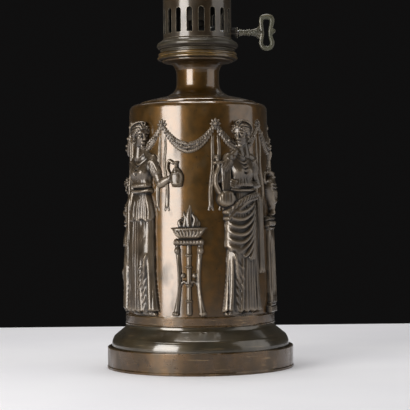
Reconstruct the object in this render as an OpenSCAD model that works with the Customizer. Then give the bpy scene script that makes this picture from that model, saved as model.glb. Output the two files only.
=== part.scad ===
// Bronze table oil lamp with a winding key: a classical frieze round the body,
// a spring-driven piston in the reservoir, and a round-wick burner in a slotted gallery.
// Millimetres, +Z up, origin on the lamp's axis at the table. The winding key points along +X.
// The photographed front faces -Y. Frieze angles are counted from the front towards +X.

/* [Foot] */
// Outer radius of the base ring
base_r = 74; // [70:0.5:80]
// Height of the base ring up to its lip
base_h = 17; // [14:0.5:20]
// Wall of the base ring
base_wall = 3; // [2.5:0.1:4]
// Height of the ledge inside the lip, below the lip's top
lip_h = 2; // [1.5:0.1:3]
// Height of the foot moulding above that ledge
moulding_h = 20.2; // [18:0.2:23]
// Wall of the foot moulding
moulding_wall = 3; // [2.5:0.1:4]
// Height of the band under the body
band_h = 8; // [6:0.5:10]
// How far the band stands out from the body
band_step = 2; // [1.5:0.1:3]
// Thickness of the plate that closes the underside
bottom_plate_t = 1.5; // [1:0.1:2]
// Height of that plate's underside above the table
bottom_plate_z = 3; // [2:0.5:5]

/* [Body] */
// Radius of the body at its foot
body_r = 57.3; // [55:0.1:59]
// Radius of the body below its shoulder
body_top_r = 54.8; // [53:0.1:55.5]
// Height of the straight part of the body
body_h = 160.2; // [155:0.5:170]
// Wall of the body
body_wall = 2.6; // [2:0.1:3.5]
// Thickness of the flange inside the body's foot
flange_t = 2.4; // [2:0.1:3.5]
// Height of the rounded shoulder
shoulder_h = 5.2; // [4.5:0.1:6.5]
// Radius of the opening that the cap closes
cap_r = 46; // [44:0.1:47]
// Height of the cap from its seat to the neck
cap_h = 6.6; // [5.5:0.1:8]

/* [Neck and collars] */
// Least outer radius of the neck
neck_r = 17; // [17:0.1:19]
// Radius of the neck's foot
neck_foot_r = 25; // [23.5:0.1:27]
// Height of the neck
neck_h = 28.6; // [26:0.2:32]
// Radius of the bore through the neck
neck_bore_r = 15.8; // [15.6:0.05:16.2]
// Radius of the lower collar
collar_r = 32; // [30.5:0.1:33]
// Height of the lower collar
collar_h = 5.8; // [5:0.1:7]
// Height of the beaded groove above it
groove_h = 3.4; // [3:0.1:4.5]
// Radius of the upper ring
ring_r = 32.4; // [31:0.1:33.5]
// Height of the upper ring
ring_h = 5.8; // [5:0.1:7]

/* [Gallery] */
// Outer radius of the slotted drum
drum_r = 27.2; // [26.6:0.1:28]
// Wall of the drum
drum_wall = 1.2; // [1:0.1:1.6]
// Height of the drum up to its rim bead
drum_h = 34.4; // [33:0.2:37]
// Number of slot places round the drum
slot_count = 18; // [16:2:18]
// Width of a slot
slot_w = 4.8; // [3.6:0.1:5.2]
// Height of a slot
slot_h = 19.5; // [17:0.5:21]
// Height of the slots' lower ends above the drum's foot
slot_z = 5.6; // [5:0.1:7]
// Height of the rim bead
rim_h = 3.4; // [2.5:0.1:4.5]
// Height of the spigot that a shade ring sits on
spigot_h = 4; // [3:0.5:6]
// Radius of that spigot
spigot_r = 27; // [26.4:0.1:27.2]

/* [Winding key] */
// Height of the winding arbor above the drum's foot
arbor_z = 7.3; // [7:0.1:8.5]
// Radius of the arbor
arbor_r = 1.8; // [1.5:0.05:2]
// Number of teeth on the winding pinion
wind_teeth = 12; // [12:1:12]
// Module of the winding pinion and its rack
wind_module = 0.8; // [0.75:0.01:0.8]
// Number of rack teeth that winding from run down to full passes
wind_travel_teeth = 15; // [12:1:15]
// Length of the key's socket
socket_l = 8; // [7:0.5:9]
// Outer radius of the key's socket
socket_r = 2.8; // [2.6:0.1:3.2]
// Height of the key's bow
bow_h = 29.8; // [26:0.2:32]
// Width of the key's bow, without its point
bow_w = 12; // [11:0.2:13]
// Thickness of the key's bow
bow_t = 3; // [2.4:0.1:3.6]
// Radius of the bush that carries the arbor in the drum
bush_r = 4; // [3.4:0.1:4.4]
// How far that bush stands out of the drum
bush_out = 5; // [4:0.1:5.4]

/* [Reservoir and piston] */
// Inner radius of the oil reservoir
tank_r = 42; // [40:0.2:44]
// Wall of the reservoir
tank_wall = 1; // [0.8:0.1:1.4]
// Thickness of the floor plate under the reservoir
floor_t = 1.8; // [1.4:0.1:3]
// Thickness of the reservoir's lid
lid_t = 1.6; // [1.2:0.1:2]
// Free height under the leather when the piston is run down
piston_rest = 3; // [2:0.5:6]
// Height of the leather cup
leather_h = 5; // [4:0.5:7]
// Thickness of the piston disc
piston_t = 2; // [1.6:0.1:3]
// Outer radius of the fixed riser tube
riser_r = 1.6; // [1.5:0.05:1.65]
// Wall of the riser and sliding tubes
tube_wall = 0.4; // [0.3:0.05:0.45]
// Radius of the moderator needle
needle_r = 0.6; // [0.45:0.05:0.7]
// Turns of the piston spring
spring_turns = 7; // [5:1:8]
// Radius of the spring's wire
spring_wire_r = 1.4; // [1:0.1:1.6]

/* [Burner] */
// Height of the burner's bottom above the arbor
burner_z = 9.3; // [8.8:0.1:10.5]
// Height of the burner's outer tube
burner_h = 33; // [31:0.5:36]
// Outer radius of the outer tube
burner_r = 9.4; // [9.2:0.05:9.5]
// Inner radius of the inner air tube
air_r = 4.6; // [4.4:0.1:4.8]
// Wall of both tubes
burner_wall = 0.6; // [0.5:0.05:0.7]
// Height of the stop bead above the burner's bottom
stop_z = 17.3; // [17:0.1:18.5]

/* [Wick] */
// Thickness of the round wick
wick_t = 1.8; // [1.4:0.1:2]
// How far the lowered wick lies below the burner's mouth
wick_down = 3; // [2:0.5:5]
// Number of teeth on the wick pinion
wick_teeth = 10; // [10:1:10]
// Module of the wick pinion and its rack
wick_module = 0.6; // [0.56:0.01:0.6]
// Number of rack teeth that raising the wick passes
wick_travel_teeth = 4; // [3:1:4]
// Radius of the wick shaft
wick_shaft_r = 1.2; // [1:0.05:1.4]
// Sideways place of the wick shaft
wick_x = 6; // [5.8:0.1:6.3]
// Height of the wick shaft above the burner's bottom
wick_z = 7.5; // [7.3:0.1:8]
// Radius of the wick knob
knob_r = 7; // [6:0.2:8]
// Thickness of the wick knob
knob_t = 4; // [3:0.2:5]

/* [Chimney] */
// Outer radius of the chimney's foot
chimney_foot_r = 20.6; // [19.5:0.1:21]
// Outer radius of the chimney's stack
chimney_top_r = 14; // [13:0.2:15.5]
// Thickness of the glass
glass_t = 1.2; // [1:0.1:1.6]
// Height of the chimney
chimney_h = 205; // [180:1:230]
// Height at which the chimney starts to narrow
chimney_waist = 32; // [28:1:38]
// Height of the spring fingers that grip the chimney
finger_h = 8; // [6:0.5:10]

/* [Frieze] */
// Height of the standing figures
figure_h = 150; // [140:1:154]
// Depth of the rosettes below the top of the body's straight part
rosette_drop = 13.2; // [11:0.1:20]
// Length of the ribbons that hang from the rosettes
ribbon_h = 62; // [50:1:70]
// How far a swag hangs below its rosettes
swag_dip = 18; // [14:0.5:20]
// Gap left under each applied casting, which its solder fills
relief_gap = 0.05; // [0.03:0.01:0.1]
// Gap left where a festoon meets another casting
joint_line = 0.2; // [0.15:0.05:0.3]

/* [Fits] */
// Radial clearance of a shaft in its bush
run_fit = 0.05; // [0.03:0.01:0.08]
// Clearance between loosely stacked parts
loose_fit = 0.2; // [0.15:0.05:0.3]

/* [Hidden] */
$fn = 96;
// How much larger the masses of a casting are while they cut the festoons
$grow = 0;

// Heights of the stacked parts
ledge_z = base_h - lip_h;
band_z = ledge_z + moulding_h;
body_z = band_z + band_h;
shoulder_z = body_z + body_h;
cap_z = shoulder_z + shoulder_h;
neck_z = cap_z + cap_h;
collar_z = neck_z + neck_h;
groove_z = collar_z + collar_h;
ring_z = groove_z + groove_h;
drum_z = ring_z + ring_h;
rim_z = drum_z + drum_h;
rim_r = drum_r + 1.2;
drum_in = drum_r - drum_wall;
key_z = drum_z + arbor_z;
burner_bottom = key_z + burner_z;
deck_t = 1.5;
band_r = body_r + band_step;

// Winding gear: the pinion turns about X, and the rack stands on its +Y side
wind_r = wind_teeth * wind_module / 2;
wind_pitch = PI * wind_module;
wind_travel = wind_travel_teeth * wind_pitch;
mesh_gap = 0.1;
gear_x = 10;
gear_w = 3.2;
rack_back = 2.8;
rack_y = wind_r + mesh_gap;
rod_r = 1.4;
rod_x = gear_x + gear_w / 2;
rod_y = rack_y + rack_back - rod_r - 0.1;
rack_low = key_z - wind_travel - 2.5 * wind_pitch;
rack_high = key_z + 2.5 * wind_pitch;

// Wick gear: the pinion turns about Y, and the rack stands on its -X side
wick_r = wick_teeth * wick_module / 2;
wick_pitch = PI * wick_module;
wick_travel = wick_travel_teeth * wick_pitch;
wick_gear_z = burner_bottom + wick_z;
wick_gear_y = burner_r + 1;
wick_gear_w = 2.2;
wick_rack_x = wick_x - wick_r - mesh_gap;
wick_rack_back = 2.2;
finger_w = 1.2;
// The rack reaches one and a half teeth past the shaft each way, and its travel below that
wick_rack_low = wick_gear_z - wick_travel - 1.5 * wick_pitch;
wick_low = burner_bottom + 1.6;
carrier_h = 3;

// Places inside the reservoir
floor_z = body_z + flange_t;
tank_z = floor_z + floor_t;
tank_floor = tank_z + tank_wall;
lid_z = shoulder_z - 4;
piston_z = tank_floor + piston_rest + leather_h;
piston_top = piston_z + piston_t;
riser_x = -(air_r + burner_wall + burner_r - burner_wall) / 2;
riser_low = piston_top + wind_travel + 12;
slide_in = riser_r + run_fit + 0.03;
slide_out = slide_in + tube_wall;

// Seat of the chimney
stop_top = burner_bottom + stop_z + 1.2;
holder_t = 1.5;
seat_z = stop_top + holder_t;
glass_z = seat_z;

// Body surface and places on it
function body_surface(z) = body_r + (body_top_r - body_r) * (z - body_z) / body_h;
function on_body(angle, u, z, v) =
    let (r = body_surface(z), a = angle + u / body_r * 180 / PI)
    [(r + v) * sin(a), -(r + v) * cos(a), z];
function arc(x, z, r, from, to, n = 8) =
    [for (i = [0:n]) let (a = from + (to - from) * i / n) [x + r * cos(a), z + r * sin(a)]];

module turned(points) { rotate_extrude() polygon(points); }
module tube(outer, inner, h) {
    difference() {
        cylinder(r = outer, h = h);
        translate([0, 0, -1]) cylinder(r = inner, h = h + 2);
    }
}
// A cylinder from one height up, at a place across the lamp
module post(x, y, z, r, h) { translate([x, y, z]) cylinder(r = r, h = h); }
// A cylinder along +X or +Y
module along_x(x, y, z, r, l) { translate([x, y, z]) rotate([0, 90, 0]) cylinder(r = r, h = l); }
module along_y(x, y, z, r, l) { translate([x, y, z]) rotate([-90, 0, 0]) cylinder(r = r, h = l); }

// Foot
module base_ring() {
    lip = 0.8;
    color("#6b543c") turned(concat(
        [[base_r - base_wall, 0], [base_r + 0.3, 0], [base_r + 0.4, 0.5], [base_r + 0.4, 1.6],
         [base_r, 2.4]],
        arc(base_r - lip, base_h - lip, lip, 0, 90),
        arc(base_r - 2 * lip, base_h - lip, lip, 90, 180),
        [[base_r - base_wall, ledge_z], [base_r - 11, ledge_z], [base_r - 11, ledge_z - 3],
         [base_r - base_wall, ledge_z - 3]]));
}

// Outline of the foot moulding from its lower edge to the band, as a convex foot, a slope and a hollow
module foot_moulding() {
    low_r = base_r - base_wall - 0.4;
    slope_r = band_r + 2.6;
    outer = concat(
        [[low_r - 0.6, ledge_z], [low_r, ledge_z + 0.8]],
        arc(low_r - 12, ledge_z + 3.2, 12, 0, 30, 5),
        [for (p = arc(low_r - 4.8, ledge_z + 8.2, 3.3, 14, 52, 6)) p],
        arc(slope_r + 1.5, band_z - 0.4, 4.2, 232, 180, 7),
        [[band_r - 1, band_z - 0.2], [band_r - 1, band_z]]);
    color("#4a4234") difference() {
        turned(concat(outer,
        [[band_r - 1 - 3 * moulding_wall, band_z], [band_r - 1 - 3 * moulding_wall, band_z - moulding_wall],
         [band_r - moulding_wall, band_z - moulding_wall],
         [low_r - moulding_wall - 3.6, ledge_z + 5], [low_r - moulding_wall - 3.6, ledge_z]]));
        for (a = screw_angles) rotate(a)
            post(screw_ring, 0, band_z - moulding_wall - 1, screw_r + loose_fit, moulding_wall + 2);
    }
}

module foot_band() {
    inner = band_r - 1 - 3 * moulding_wall;
    color("#6d5540") difference() {
        turned([[inner, band_z], [band_r + 0.1, band_z], [band_r + 0.4, band_z + 0.5],
                [band_r + 0.1, band_z + 1], [band_r, band_z + 1.3], [band_r, body_z - 1],
                [band_r - 0.3, body_z - 0.2], [band_r - 0.8, body_z], [inner, body_z]]);
        for (a = screw_angles) rotate(a) post(screw_ring, 0, band_z - 1, screw_r + loose_fit, band_h + 2);
    }
}

module bottom_plate() {
    color("#8a7a52") difference() {
        translate([0, 0, bottom_plate_z]) cylinder(r = base_r - base_wall - loose_fit, h = bottom_plate_t);
        for (a = plate_angles) rotate(a)
            post(plate_ring, 0, bottom_plate_z - 1, screw_r + loose_fit, bottom_plate_t + 2);
    }
}

// Screws
screw_r = 1.5;
head_r = 2.8;
head_h = 1.6;
screw_ring = band_r - 1 - 2 * moulding_wall;
screw_angles = [45, 135, 225, 315];
plate_angles = [30, 150, 270];
plate_ring = base_r - 8;
module screw(length) {
    translate([0, 0, -head_h]) difference() {
        cylinder(r = head_r, h = head_h);
        translate([-head_r, -0.4, -0.2]) cube([2 * head_r, 0.8, 0.9]);
    }
    cylinder(r = screw_r, h = length);
}
module plate_screws() {
    color("#3f3a30") for (a = plate_angles) rotate(a)
        translate([plate_ring, 0, bottom_plate_z]) screw(ledge_z - 3 - bottom_plate_z);
}
module floor_screws() {
    color("#3f3a30") for (a = screw_angles) rotate(a)
        translate([screw_ring, 0, band_z - moulding_wall]) screw(moulding_wall + band_h + flange_t);
}

// Floor plate that the reservoir stands on, laid on the flange inside the body's foot
module body_floor() {
    color("#8f8468") translate([0, 0, floor_z]) tube(body_r - body_wall - 0.6, 12, floor_t);
}

module body_shell() {
    r_in = body_r - body_wall;
    top_in = body_top_r - body_wall;
    color("#5a3d25") difference() {
        turned(concat(
        [[screw_ring - 4, floor_z], [screw_ring - 4, body_z], [body_r, body_z], [body_top_r, shoulder_z]],
        arc(body_top_r - shoulder_h * 0.92, shoulder_z, shoulder_h * 0.92, 0, 78, 10),
        [[cap_r + 1.4, cap_z - 0.1], [cap_r + 0.8, cap_z - 0.5], [cap_r + 0.2, cap_z], [cap_r - 6, cap_z],
         [cap_r - 6, cap_z - 2.2], [cap_r + 0.5, cap_z - 2.2]],
        [[top_in, shoulder_z - 1], [r_in, floor_z]]));
        for (a = screw_angles) rotate(a) post(screw_ring, 0, body_z - 1, screw_r, flange_t + 2);
    }
}

// Cap: a sloping disc with a beaded edge, seated in the shoulder
module top_cap() {
    color("#5a3d25") turned([
        [neck_bore_r + 2, cap_z], [cap_r - 0.2, cap_z], [cap_r, cap_z + 0.4], [cap_r, cap_z + 1.3],
        [cap_r - 0.4, cap_z + 1.7], [cap_r - 1, cap_z + 1.8], [cap_r - 1.6, cap_z + 1.6],
        [cap_r - 6, cap_z + 3.2], [neck_foot_r + 7, cap_z + 5.1],
        [neck_foot_r, neck_z], [neck_bore_r + 2, neck_z]]);
}

// Outline of the neck's upper flare: share of the way out to the flange, and depth below the collar
neck_flare = [[0, 10.5], [0.03, 8.1], [0.08, 6.5], [0.13, 5.4], [0.18, 4.4], [0.26, 3.4], [0.38, 2.5],
    [0.62, 1.9], [0.86, 1.5], [0.98, 1], [1, 0.5]];

// Neck: a hollow waist that flares to a flange below the collar, with a threaded spigot inside the cap
module neck() {
    foot_curve = 13.5;
    flare = collar_r - 3.6 - neck_r;
    spigot = neck_bore_r + 1.9;
    color("#7a4f26") turned(concat(
        [[neck_bore_r, cap_z - 4], [spigot, cap_z - 4], [spigot, neck_z], [neck_foot_r - 0.6, neck_z]],
        [for (i = [0:9]) let (t = i / 9)
            [neck_r + (neck_foot_r - 1.2 - neck_r) * pow(1 - t, 4.2), neck_z + 0.8 + foot_curve * t]],
        [for (p = neck_flare) [neck_r + flare * p[0], collar_z - p[1]]],
        [[neck_r + flare, collar_z], [neck_bore_r, collar_z]]));
}

module neck_nut() {
    color("#8f7a45") translate([0, 0, cap_z - 3.6]) difference() {
        cylinder(r = neck_bore_r + 6, h = 3.6, $fn = 8);
        translate([0, 0, -1]) cylinder(r = neck_bore_r + 1.9, h = 6);
    }
}

// Lower collar with two beads
module lower_collar() {
    bead = collar_h / 4;
    color("#7d5a2c") turned(concat(
        [[neck_bore_r, collar_z], [collar_r - 3.6, collar_z], [collar_r - 1.4, collar_z + 0.2]],
        arc(collar_r - bead, collar_z + 0.3 + bead, bead, -70, 80, 6),
        arc(collar_r - 0.5 - bead, collar_z + 0.5 + 2.9 * bead, bead * 0.9, -60, 90, 6),
        [[collar_r - 2.8, groove_z], [neck_bore_r, groove_z]]));
}

// Burner ring: the flange of the lamp's works, with a small bead under a broad rounded ring
module burner_ring() {
    bead = groove_h / 4;
    color("#6f6a52") turned(concat(
        [[ring_r - 9, groove_z], [ring_r - 3.6, groove_z]],
        arc(ring_r - 3.4, groove_z + 1.2 + bead, bead, -90, 90, 5),
        [[ring_r - 3.6, ring_z - 0.5], [ring_r - 1.6, ring_z]],
        arc(ring_r - ring_h * 0.44, ring_z + ring_h * 0.46, ring_h * 0.44, -62, 76, 9),
        [[ring_r - 2.6, drum_z], [drum_in - 1.4, drum_z], [drum_in - 1.4, drum_z - 2.2], [ring_r - 9, drum_z - 2.2]]));
}

// Deck that carries the burner and the gears, with passages for the riser and the rack
module deck_plate() {
    color("#8f7a45") translate([0, 0, drum_z - 2.2 - deck_t]) difference() {
        cylinder(r = ring_r - 9, h = deck_t);
        post(riser_x, 0, -1, riser_r + run_fit, 4);
        translate([gear_x - 0.6, rack_y - 1.6, -1]) cube([gear_w + 1.2, rack_back + 2.2, 4]);
        for (a = [0:45:315]) rotate(a + 22.5) post(19, 0, -1, 2, 4);
    }
}
deck_top = drum_z - 2.2;

// Slotted gallery
slot_pitch = 360 / slot_count;
slot_first = 7.3;
// A slot place is left solid where a bush goes through the drum
wick_angle = 180 - asin(wick_x / drum_r);
slot_angles = [for (i = [0:slot_count - 1]) let (a = slot_first + i * slot_pitch)
    if (abs(a - 90) > slot_pitch / 2 && abs(a - wick_angle) > slot_pitch / 2) a];

module slot_cutter() {
    corner = 0.8;
    half = slot_w / 2;
    translate([0, 1 - drum_in, slot_z]) rotate([90, 0, 0]) linear_extrude(drum_wall + 3) polygon(concat(
        arc(half - corner, corner, corner, -90, 0, 3), arc(0, slot_h - half, half, 0, 180, 10),
        arc(corner - half, corner, corner, 180, 270, 3)));
}
module gallery() {
    color("#5b4a38") difference() {
        translate([0, 0, drum_z]) turned(concat(
            [[drum_in, 0], [rim_r, 0], [rim_r, 0.8], [rim_r - 0.4, 1.5], [drum_r, 2], [drum_r, drum_h - 0.6]],
            arc(rim_r - rim_h / 2, drum_h + rim_h / 2, rim_h / 2, -75, 75, 8),
            [[spigot_r, drum_h + rim_h], [spigot_r, drum_h + rim_h + spigot_h],
             [drum_in, drum_h + rim_h + spigot_h]]));
        for (a = slot_angles) translate([0, 0, drum_z]) rotate(a) slot_cutter();
        along_x(drum_in - 4, 0, key_z, bush_r, 8);
        along_y(wick_x, drum_in - 4, wick_gear_z, wick_bush_r, 8);
    }
}

// Bushes, bracket and guide of the two shafts
wick_bush_r = wick_shaft_r + 1.2;
module key_bush() {
    color("#4a4436") difference() {
        union() {
            along_x(drum_in - 1.5, 0, key_z, bush_r, drum_wall + 1.5 + bush_out);
            along_x(drum_r + bush_out - 1.2, 0, key_z, bush_r + 0.3, 1.2);
        }
        along_x(drum_in - 4, 0, key_z, arbor_r + run_fit, 20);
    }
}
module wick_bush() {
    color("#8f7a45") difference() {
        along_y(wick_x, drum_in - 2.4, wick_gear_z, wick_bush_r, drum_wall + 3.4);
        along_y(wick_x, drum_in - 5, wick_gear_z, wick_shaft_r + run_fit, 12);
    }
}
bracket_x = gear_x - 0.4 - 2;
module arbor_bracket() {
    color("#8f7a45") difference() {
        union() {
            translate([bracket_x, -arbor_r - 1.2, deck_top]) cube([2, 2 * arbor_r + 2.4, key_z - deck_top]);
            along_x(bracket_x, 0, key_z, arbor_r + 1.2, 2);
        }
        along_x(bracket_x - 2, 0, key_z, arbor_r + run_fit, 6);
    }
}
module rack_guide() {
    back = rack_y + rack_back + run_fit;
    color("#8f7a45") translate([0, 0, deck_top]) union() {
        translate([gear_x - 1, back, 0]) cube([gear_w + 2, 1.6, key_z + 1.5 - deck_top]);
        translate([gear_x - 1, back, 0]) cube([gear_w + 2, 4, 1.4]);
    }
}

// Oil reservoir, its lid and the fixed tubes
module reservoir() {
    color("#9a9c98") difference() {
        translate([0, 0, tank_z]) cylinder(r = tank_r + tank_wall, h = lid_z - tank_z);
        translate([0, 0, tank_floor]) cylinder(r = tank_r, h = lid_z);
    }
}
module reservoir_lid() {
    color("#9a9c98") difference() {
        union() {
            translate([0, 0, lid_z]) cylinder(r = tank_r + tank_wall + 1.5, h = lid_t);
            translate([0, 0, lid_z]) cylinder(r = neck_bore_r + 1.9, h = cap_z - 4 - lid_z);
        }
        translate([0, 0, lid_z - 1]) cylinder(r = neck_bore_r, h = 20);
    }
}
module riser_tube() {
    color("#b08d57") translate([riser_x, 0, riser_low])
        tube(riser_r, riser_r - tube_wall, burner_bottom + 1 - riser_low);
}
module moderator_needle() {
    head = 1.4;
    color("#8c8f92") union() {
        post(riser_x, 0, burner_bottom + 1 - head, riser_r - tube_wall, head);
        post(riser_x, 0, piston_top + 8, needle_r, burner_bottom + 1 - head - piston_top - 8);
    }
}

// Spring above the piston: one wire wound as an hourglass
spring_sides = 6;
spring_steps = 8;
spring_r = tank_r - 4;
spring_low = piston_top + spring_wire_r + loose_fit;
spring_high = lid_z - spring_wire_r - loose_fit;
spring_points = [for (i = [0:spring_turns * spring_steps]) let (
    t = i / (spring_turns * spring_steps),
    a = 360 * i / spring_steps,
    r = spring_r - 14 * sin(180 * t))
    [r * cos(a), r * sin(a), spring_low + (spring_high - spring_low) * t]];
spring_least_gap = (spring_high - spring_low) / spring_turns - 2 * spring_wire_r;
echo(spring_least_gap = spring_least_gap);

module wire(points, r, sides) {
    n = len(points);
    function heading(i) =
        let (d = points[min(i + 1, n - 1)] - points[max(i - 1, 0)]) d / norm(d);
    rings = [for (i = [0:n - 1]) let (
        d = heading(i),
        side = cross(d, [0, 0, 1]) / norm(cross(d, [0, 0, 1])),
        up = cross(side, d))
        for (k = [0:sides - 1]) points[i] + r * (cos(360 * k / sides) * side + sin(360 * k / sides) * up)];
    walls = [for (i = [0:n - 2]) for (k = [0:sides - 1]) let (
        a = i * sides + k, b = i * sides + (k + 1) % sides, c = a + sides, e = b + sides)
        each [[a, b, c], [b, e, c]]];
    start = [for (k = [1:sides - 2]) [0, k + 1, k]];
    last = (n - 1) * sides;
    end = [for (k = [1:sides - 2]) [last, last + k, last + k + 1]];
    polyhedron(points = rings, faces = concat(walls, start, end));
}
module piston_spring() { color("#6f7275") wire(spring_points, spring_wire_r, spring_sides); }

// Burner: two tubes with the wick between them, open to the air inside
burner_in = burner_r - burner_wall;
air_out = air_r + burner_wall;
module burner_tubes() {
    color("#a8864a") translate([0, 0, burner_bottom]) difference() {
        union() {
            tube(burner_r, burner_in, burner_h);
            translate([0, 0, -3]) tube(air_out, air_r, burner_h + 1);
            tube(burner_r - 0.1, air_r + 0.1, 1);
            translate([0, 0, stop_z]) tube(burner_r + 0.8, burner_in, 1.2);
        }
        post(riser_x, 0, -1, riser_r, 3);
        translate([finger_x - 0.3, 4, wick_low - burner_bottom - 0.3])
            cube([finger_w + 0.6, 8, carrier_h + wick_travel + 0.6]);
    }
}
finger_x = wick_rack_x - wick_rack_back + 0.6;
module burner_posts() {
    color("#a8864a") for (s = [-1, 1])
        post(0, s * (burner_in - 1.2), deck_top, 1.1, burner_bottom - deck_top);
}

// Sheet box soldered to the burner that keeps oil round the wick rack
box_wall = 0.6;
box_low = wick_rack_low - loose_fit - box_wall;
box_high = burner_bottom + stop_z - 1;
box_x0 = wick_rack_x - wick_rack_back - 0.5 - box_wall;
box_x1 = wick_x + wick_r + wick_module + 0.5 + box_wall;
box_y1 = wick_gear_y + wick_gear_w + 0.8 + box_wall;
module wick_rack_box() {
    color("#a8864a") difference() {
        translate([box_x0, 6, box_low]) cube([box_x1 - box_x0, box_y1 - 6, box_high - box_low]);
        translate([box_x0 + box_wall, 0, box_low + box_wall])
            cube([box_x1 - box_x0 - 2 * box_wall, box_y1 - box_wall, box_high]);
        translate([0, 0, box_low - 1]) cylinder(r = burner_r, h = box_high);
        translate([gear_x - 0.6, 0, box_low - 1]) cube([8, rack_y + rack_back + 0.5, box_high]);
        along_y(wick_x, 8, wick_gear_z, wick_shaft_r + run_fit, 12);
    }
}

// Frieze: applied castings, each a group of rounded masses cut to the body
module dot(p, r) { translate(p) sphere(r = r + $grow, $fn = 10); }
module limb(angle, from, to) {
    hull() {
        dot(on_body(angle, from[0], body_z + from[1], from[2]), from[3]);
        dot(on_body(angle, to[0], body_z + to[1], to[2]), to[3]);
    }
}
module mass(angle, dots) {
    hull() for (d = dots) dot(on_body(angle, d[0], body_z + d[1], d[2]), d[3]);
}
module path(angle, dots) { for (i = [1:len(dots) - 1]) limb(angle, dots[i - 1], dots[i]); }
// What the castings leave free: the body and the band below it
module clear_of_body() {
    difference() {
        children();
        turned([[0, body_z - 20], [body_r + relief_gap, body_z - 20], [body_r + relief_gap, body_z],
                [body_top_r + relief_gap, shoulder_z], [body_top_r, shoulder_z + 1], [0, shoulder_z + 1]]);
        translate([0, 0, body_z - 30 + relief_gap]) cylinder(r = base_r, h = 30);
    }
}

module casting() { color("#55473a") clear_of_body() children(); }

// A robed standing figure: tall is its height, turn is -1 or 1 for the way it faces
module robed(angle, tall, turn, arms) {
    k = tall / 150;
    // Head with its knot of hair, and the neck
    mass(angle, [[0, 141 * k, 1, 7.5 * k], [turn * 1.5, 136 * k, 1, 6.5 * k], [-turn * 7, 141 * k, 0, 4 * k]]);
    limb(angle, [0, 133 * k, 0, 4.4 * k], [-turn, 122 * k, 0, 5.5 * k]);
    // Chest, waist and hips
    mass(angle, [[-12 * k, 120 * k, 0, 6 * k], [11 * k, 120 * k, 0, 6 * k], [-8 * k, 98 * k, 0, 7 * k],
                 [8 * k, 98 * k, 0, 7 * k], [0, 112 * k, 1, 7.5 * k]]);
    mass(angle, [[-8 * k, 98 * k, 0, 7 * k], [8 * k, 98 * k, 0, 7 * k], [-12 * k, 74 * k, -1, 7.5 * k],
                 [12 * k, 74 * k, -1, 7.5 * k], [0, 78 * k, 0, 8 * k]]);
    // Skirt down to the hem, with one knee forward, and the feet
    mass(angle, [[-12 * k, 76 * k, -1, 7 * k], [12 * k, 76 * k, -1, 7 * k], [-15 * k, 5, -1, 5.5],
                 [15 * k, 5, -1, 5.5], [turn * 6 * k, 44 * k, 0.5, 7.5 * k]]);
    limb(angle, [turn * 5, 2.5, 1, 3.6], [turn * 11, 2, 1.6, 3]);
    for (arm = arms) path(angle, arm);
    children();
}

module jug_bearer() {
    robed(-50, figure_h, 1, [
        [[11, 121, 1, 5], [18, 102, 2, 4.2], [30, 108, 2, 3.2]],
        [[-12, 121, 0, 5], [-18, 100, 0, 4.4], [-14, 80, 1, 3.4]]]) {
        // Jug: belly, neck and handle
        limb(-50, [33, 106, 1, 5.6], [32, 116, 1, 2.6]);
        path(-50, [[32, 117, 1, 1.4], [26, 116, 1, 1.3], [27, 106, 1, 1.3]]);
        // Mantle falling from the arm
        limb(-50, [-17, 92, -1, 5], [-19, 40, -1.5, 5]);
    }
}
module altar() {
    for (s = [-1, 1]) path(-8, [[s * 10, 3, 0, 2.6], [s * 7.5, 30, 0, 2.2], [s * 9, 56, 0, 2.4]]);
    mass(-8, [[-10, 57, 0, 3.4], [10, 57, 0, 3.4]]);
    mass(-8, [[-9, 62, 0, 4.5], [9, 62, 0, 4.5], [0, 66, 1, 4.5]]);
    limb(-8, [0, 68, 0, 5], [1, 84, 0, 1.6]);
    limb(-8, [0, 3, 0, 2.4], [0, 56, 0, 2.4]);
}
module lyre_player() {
    robed(35, figure_h, -1, [
        [[-11, 121, 1, 5], [-19, 104, 2, 4.2], [-13, 113, 3, 3.2]],
        [[12, 121, 0, 5], [19, 101, 1, 4.4], [-2, 100, 3, 3.2]]]) {
        // Lyre: two curved arms on a rounded box
        mass(35, [[-18, 92, 2, 4], [-10, 92, 2, 4], [-14, 88, 2, 4]]);
        for (s = [-1, 1])
            path(35, [[-14 + s * 6, 94, 2, 1.8], [-14 + s * 9, 106, 2, 1.6], [-14 + s * 6, 120, 2, 1.5]]);
        limb(35, [-22, 117, 2, 1.3], [-6, 117, 2, 1.3]);
        limb(35, [17, 92, -1, 5], [19, 34, -1.5, 5]);
    }
}
module urn_stand() {
    mass(79, [[-11, 3, 0, 3.5], [11, 3, 0, 3.5]]);
    mass(79, [[-8, 8, 0, 5], [8, 8, 0, 5], [-7, 66, 0, 5], [7, 66, 0, 5]]);
    mass(79, [[-11, 72, 0, 3.5], [11, 72, 0, 3.5]]);
    limb(79, [0, 77, 0, 3.5], [0, 84, 0, 3]);
    mass(79, [[0, 86, 0, 5], [-6, 98, 0, 6], [6, 98, 0, 6]]);
    mass(79, [[-4, 106, 0, 3.5], [4, 106, 0, 3.5], [0, 112, 0, 2.5]]);
}
module torch_bearer() {
    robed(120, figure_h, -1, [
        [[-11, 121, 1, 5], [-21, 112, 1, 4.2], [-22, 128, 1, 3.2]],
        [[12, 121, 0, 5], [18, 100, 0, 4.4], [11, 82, 1, 3.4]]]) {
        limb(120, [-20, 112, 0, 1.6], [-23, 138, 0, 2.8]);
        limb(120, [-23, 138, 0, 3.4], [-22, 150, 0, 1.4]);
        limb(120, [17, 92, -1, 5], [20, 36, -1.5, 5]);
    }
}
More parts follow.
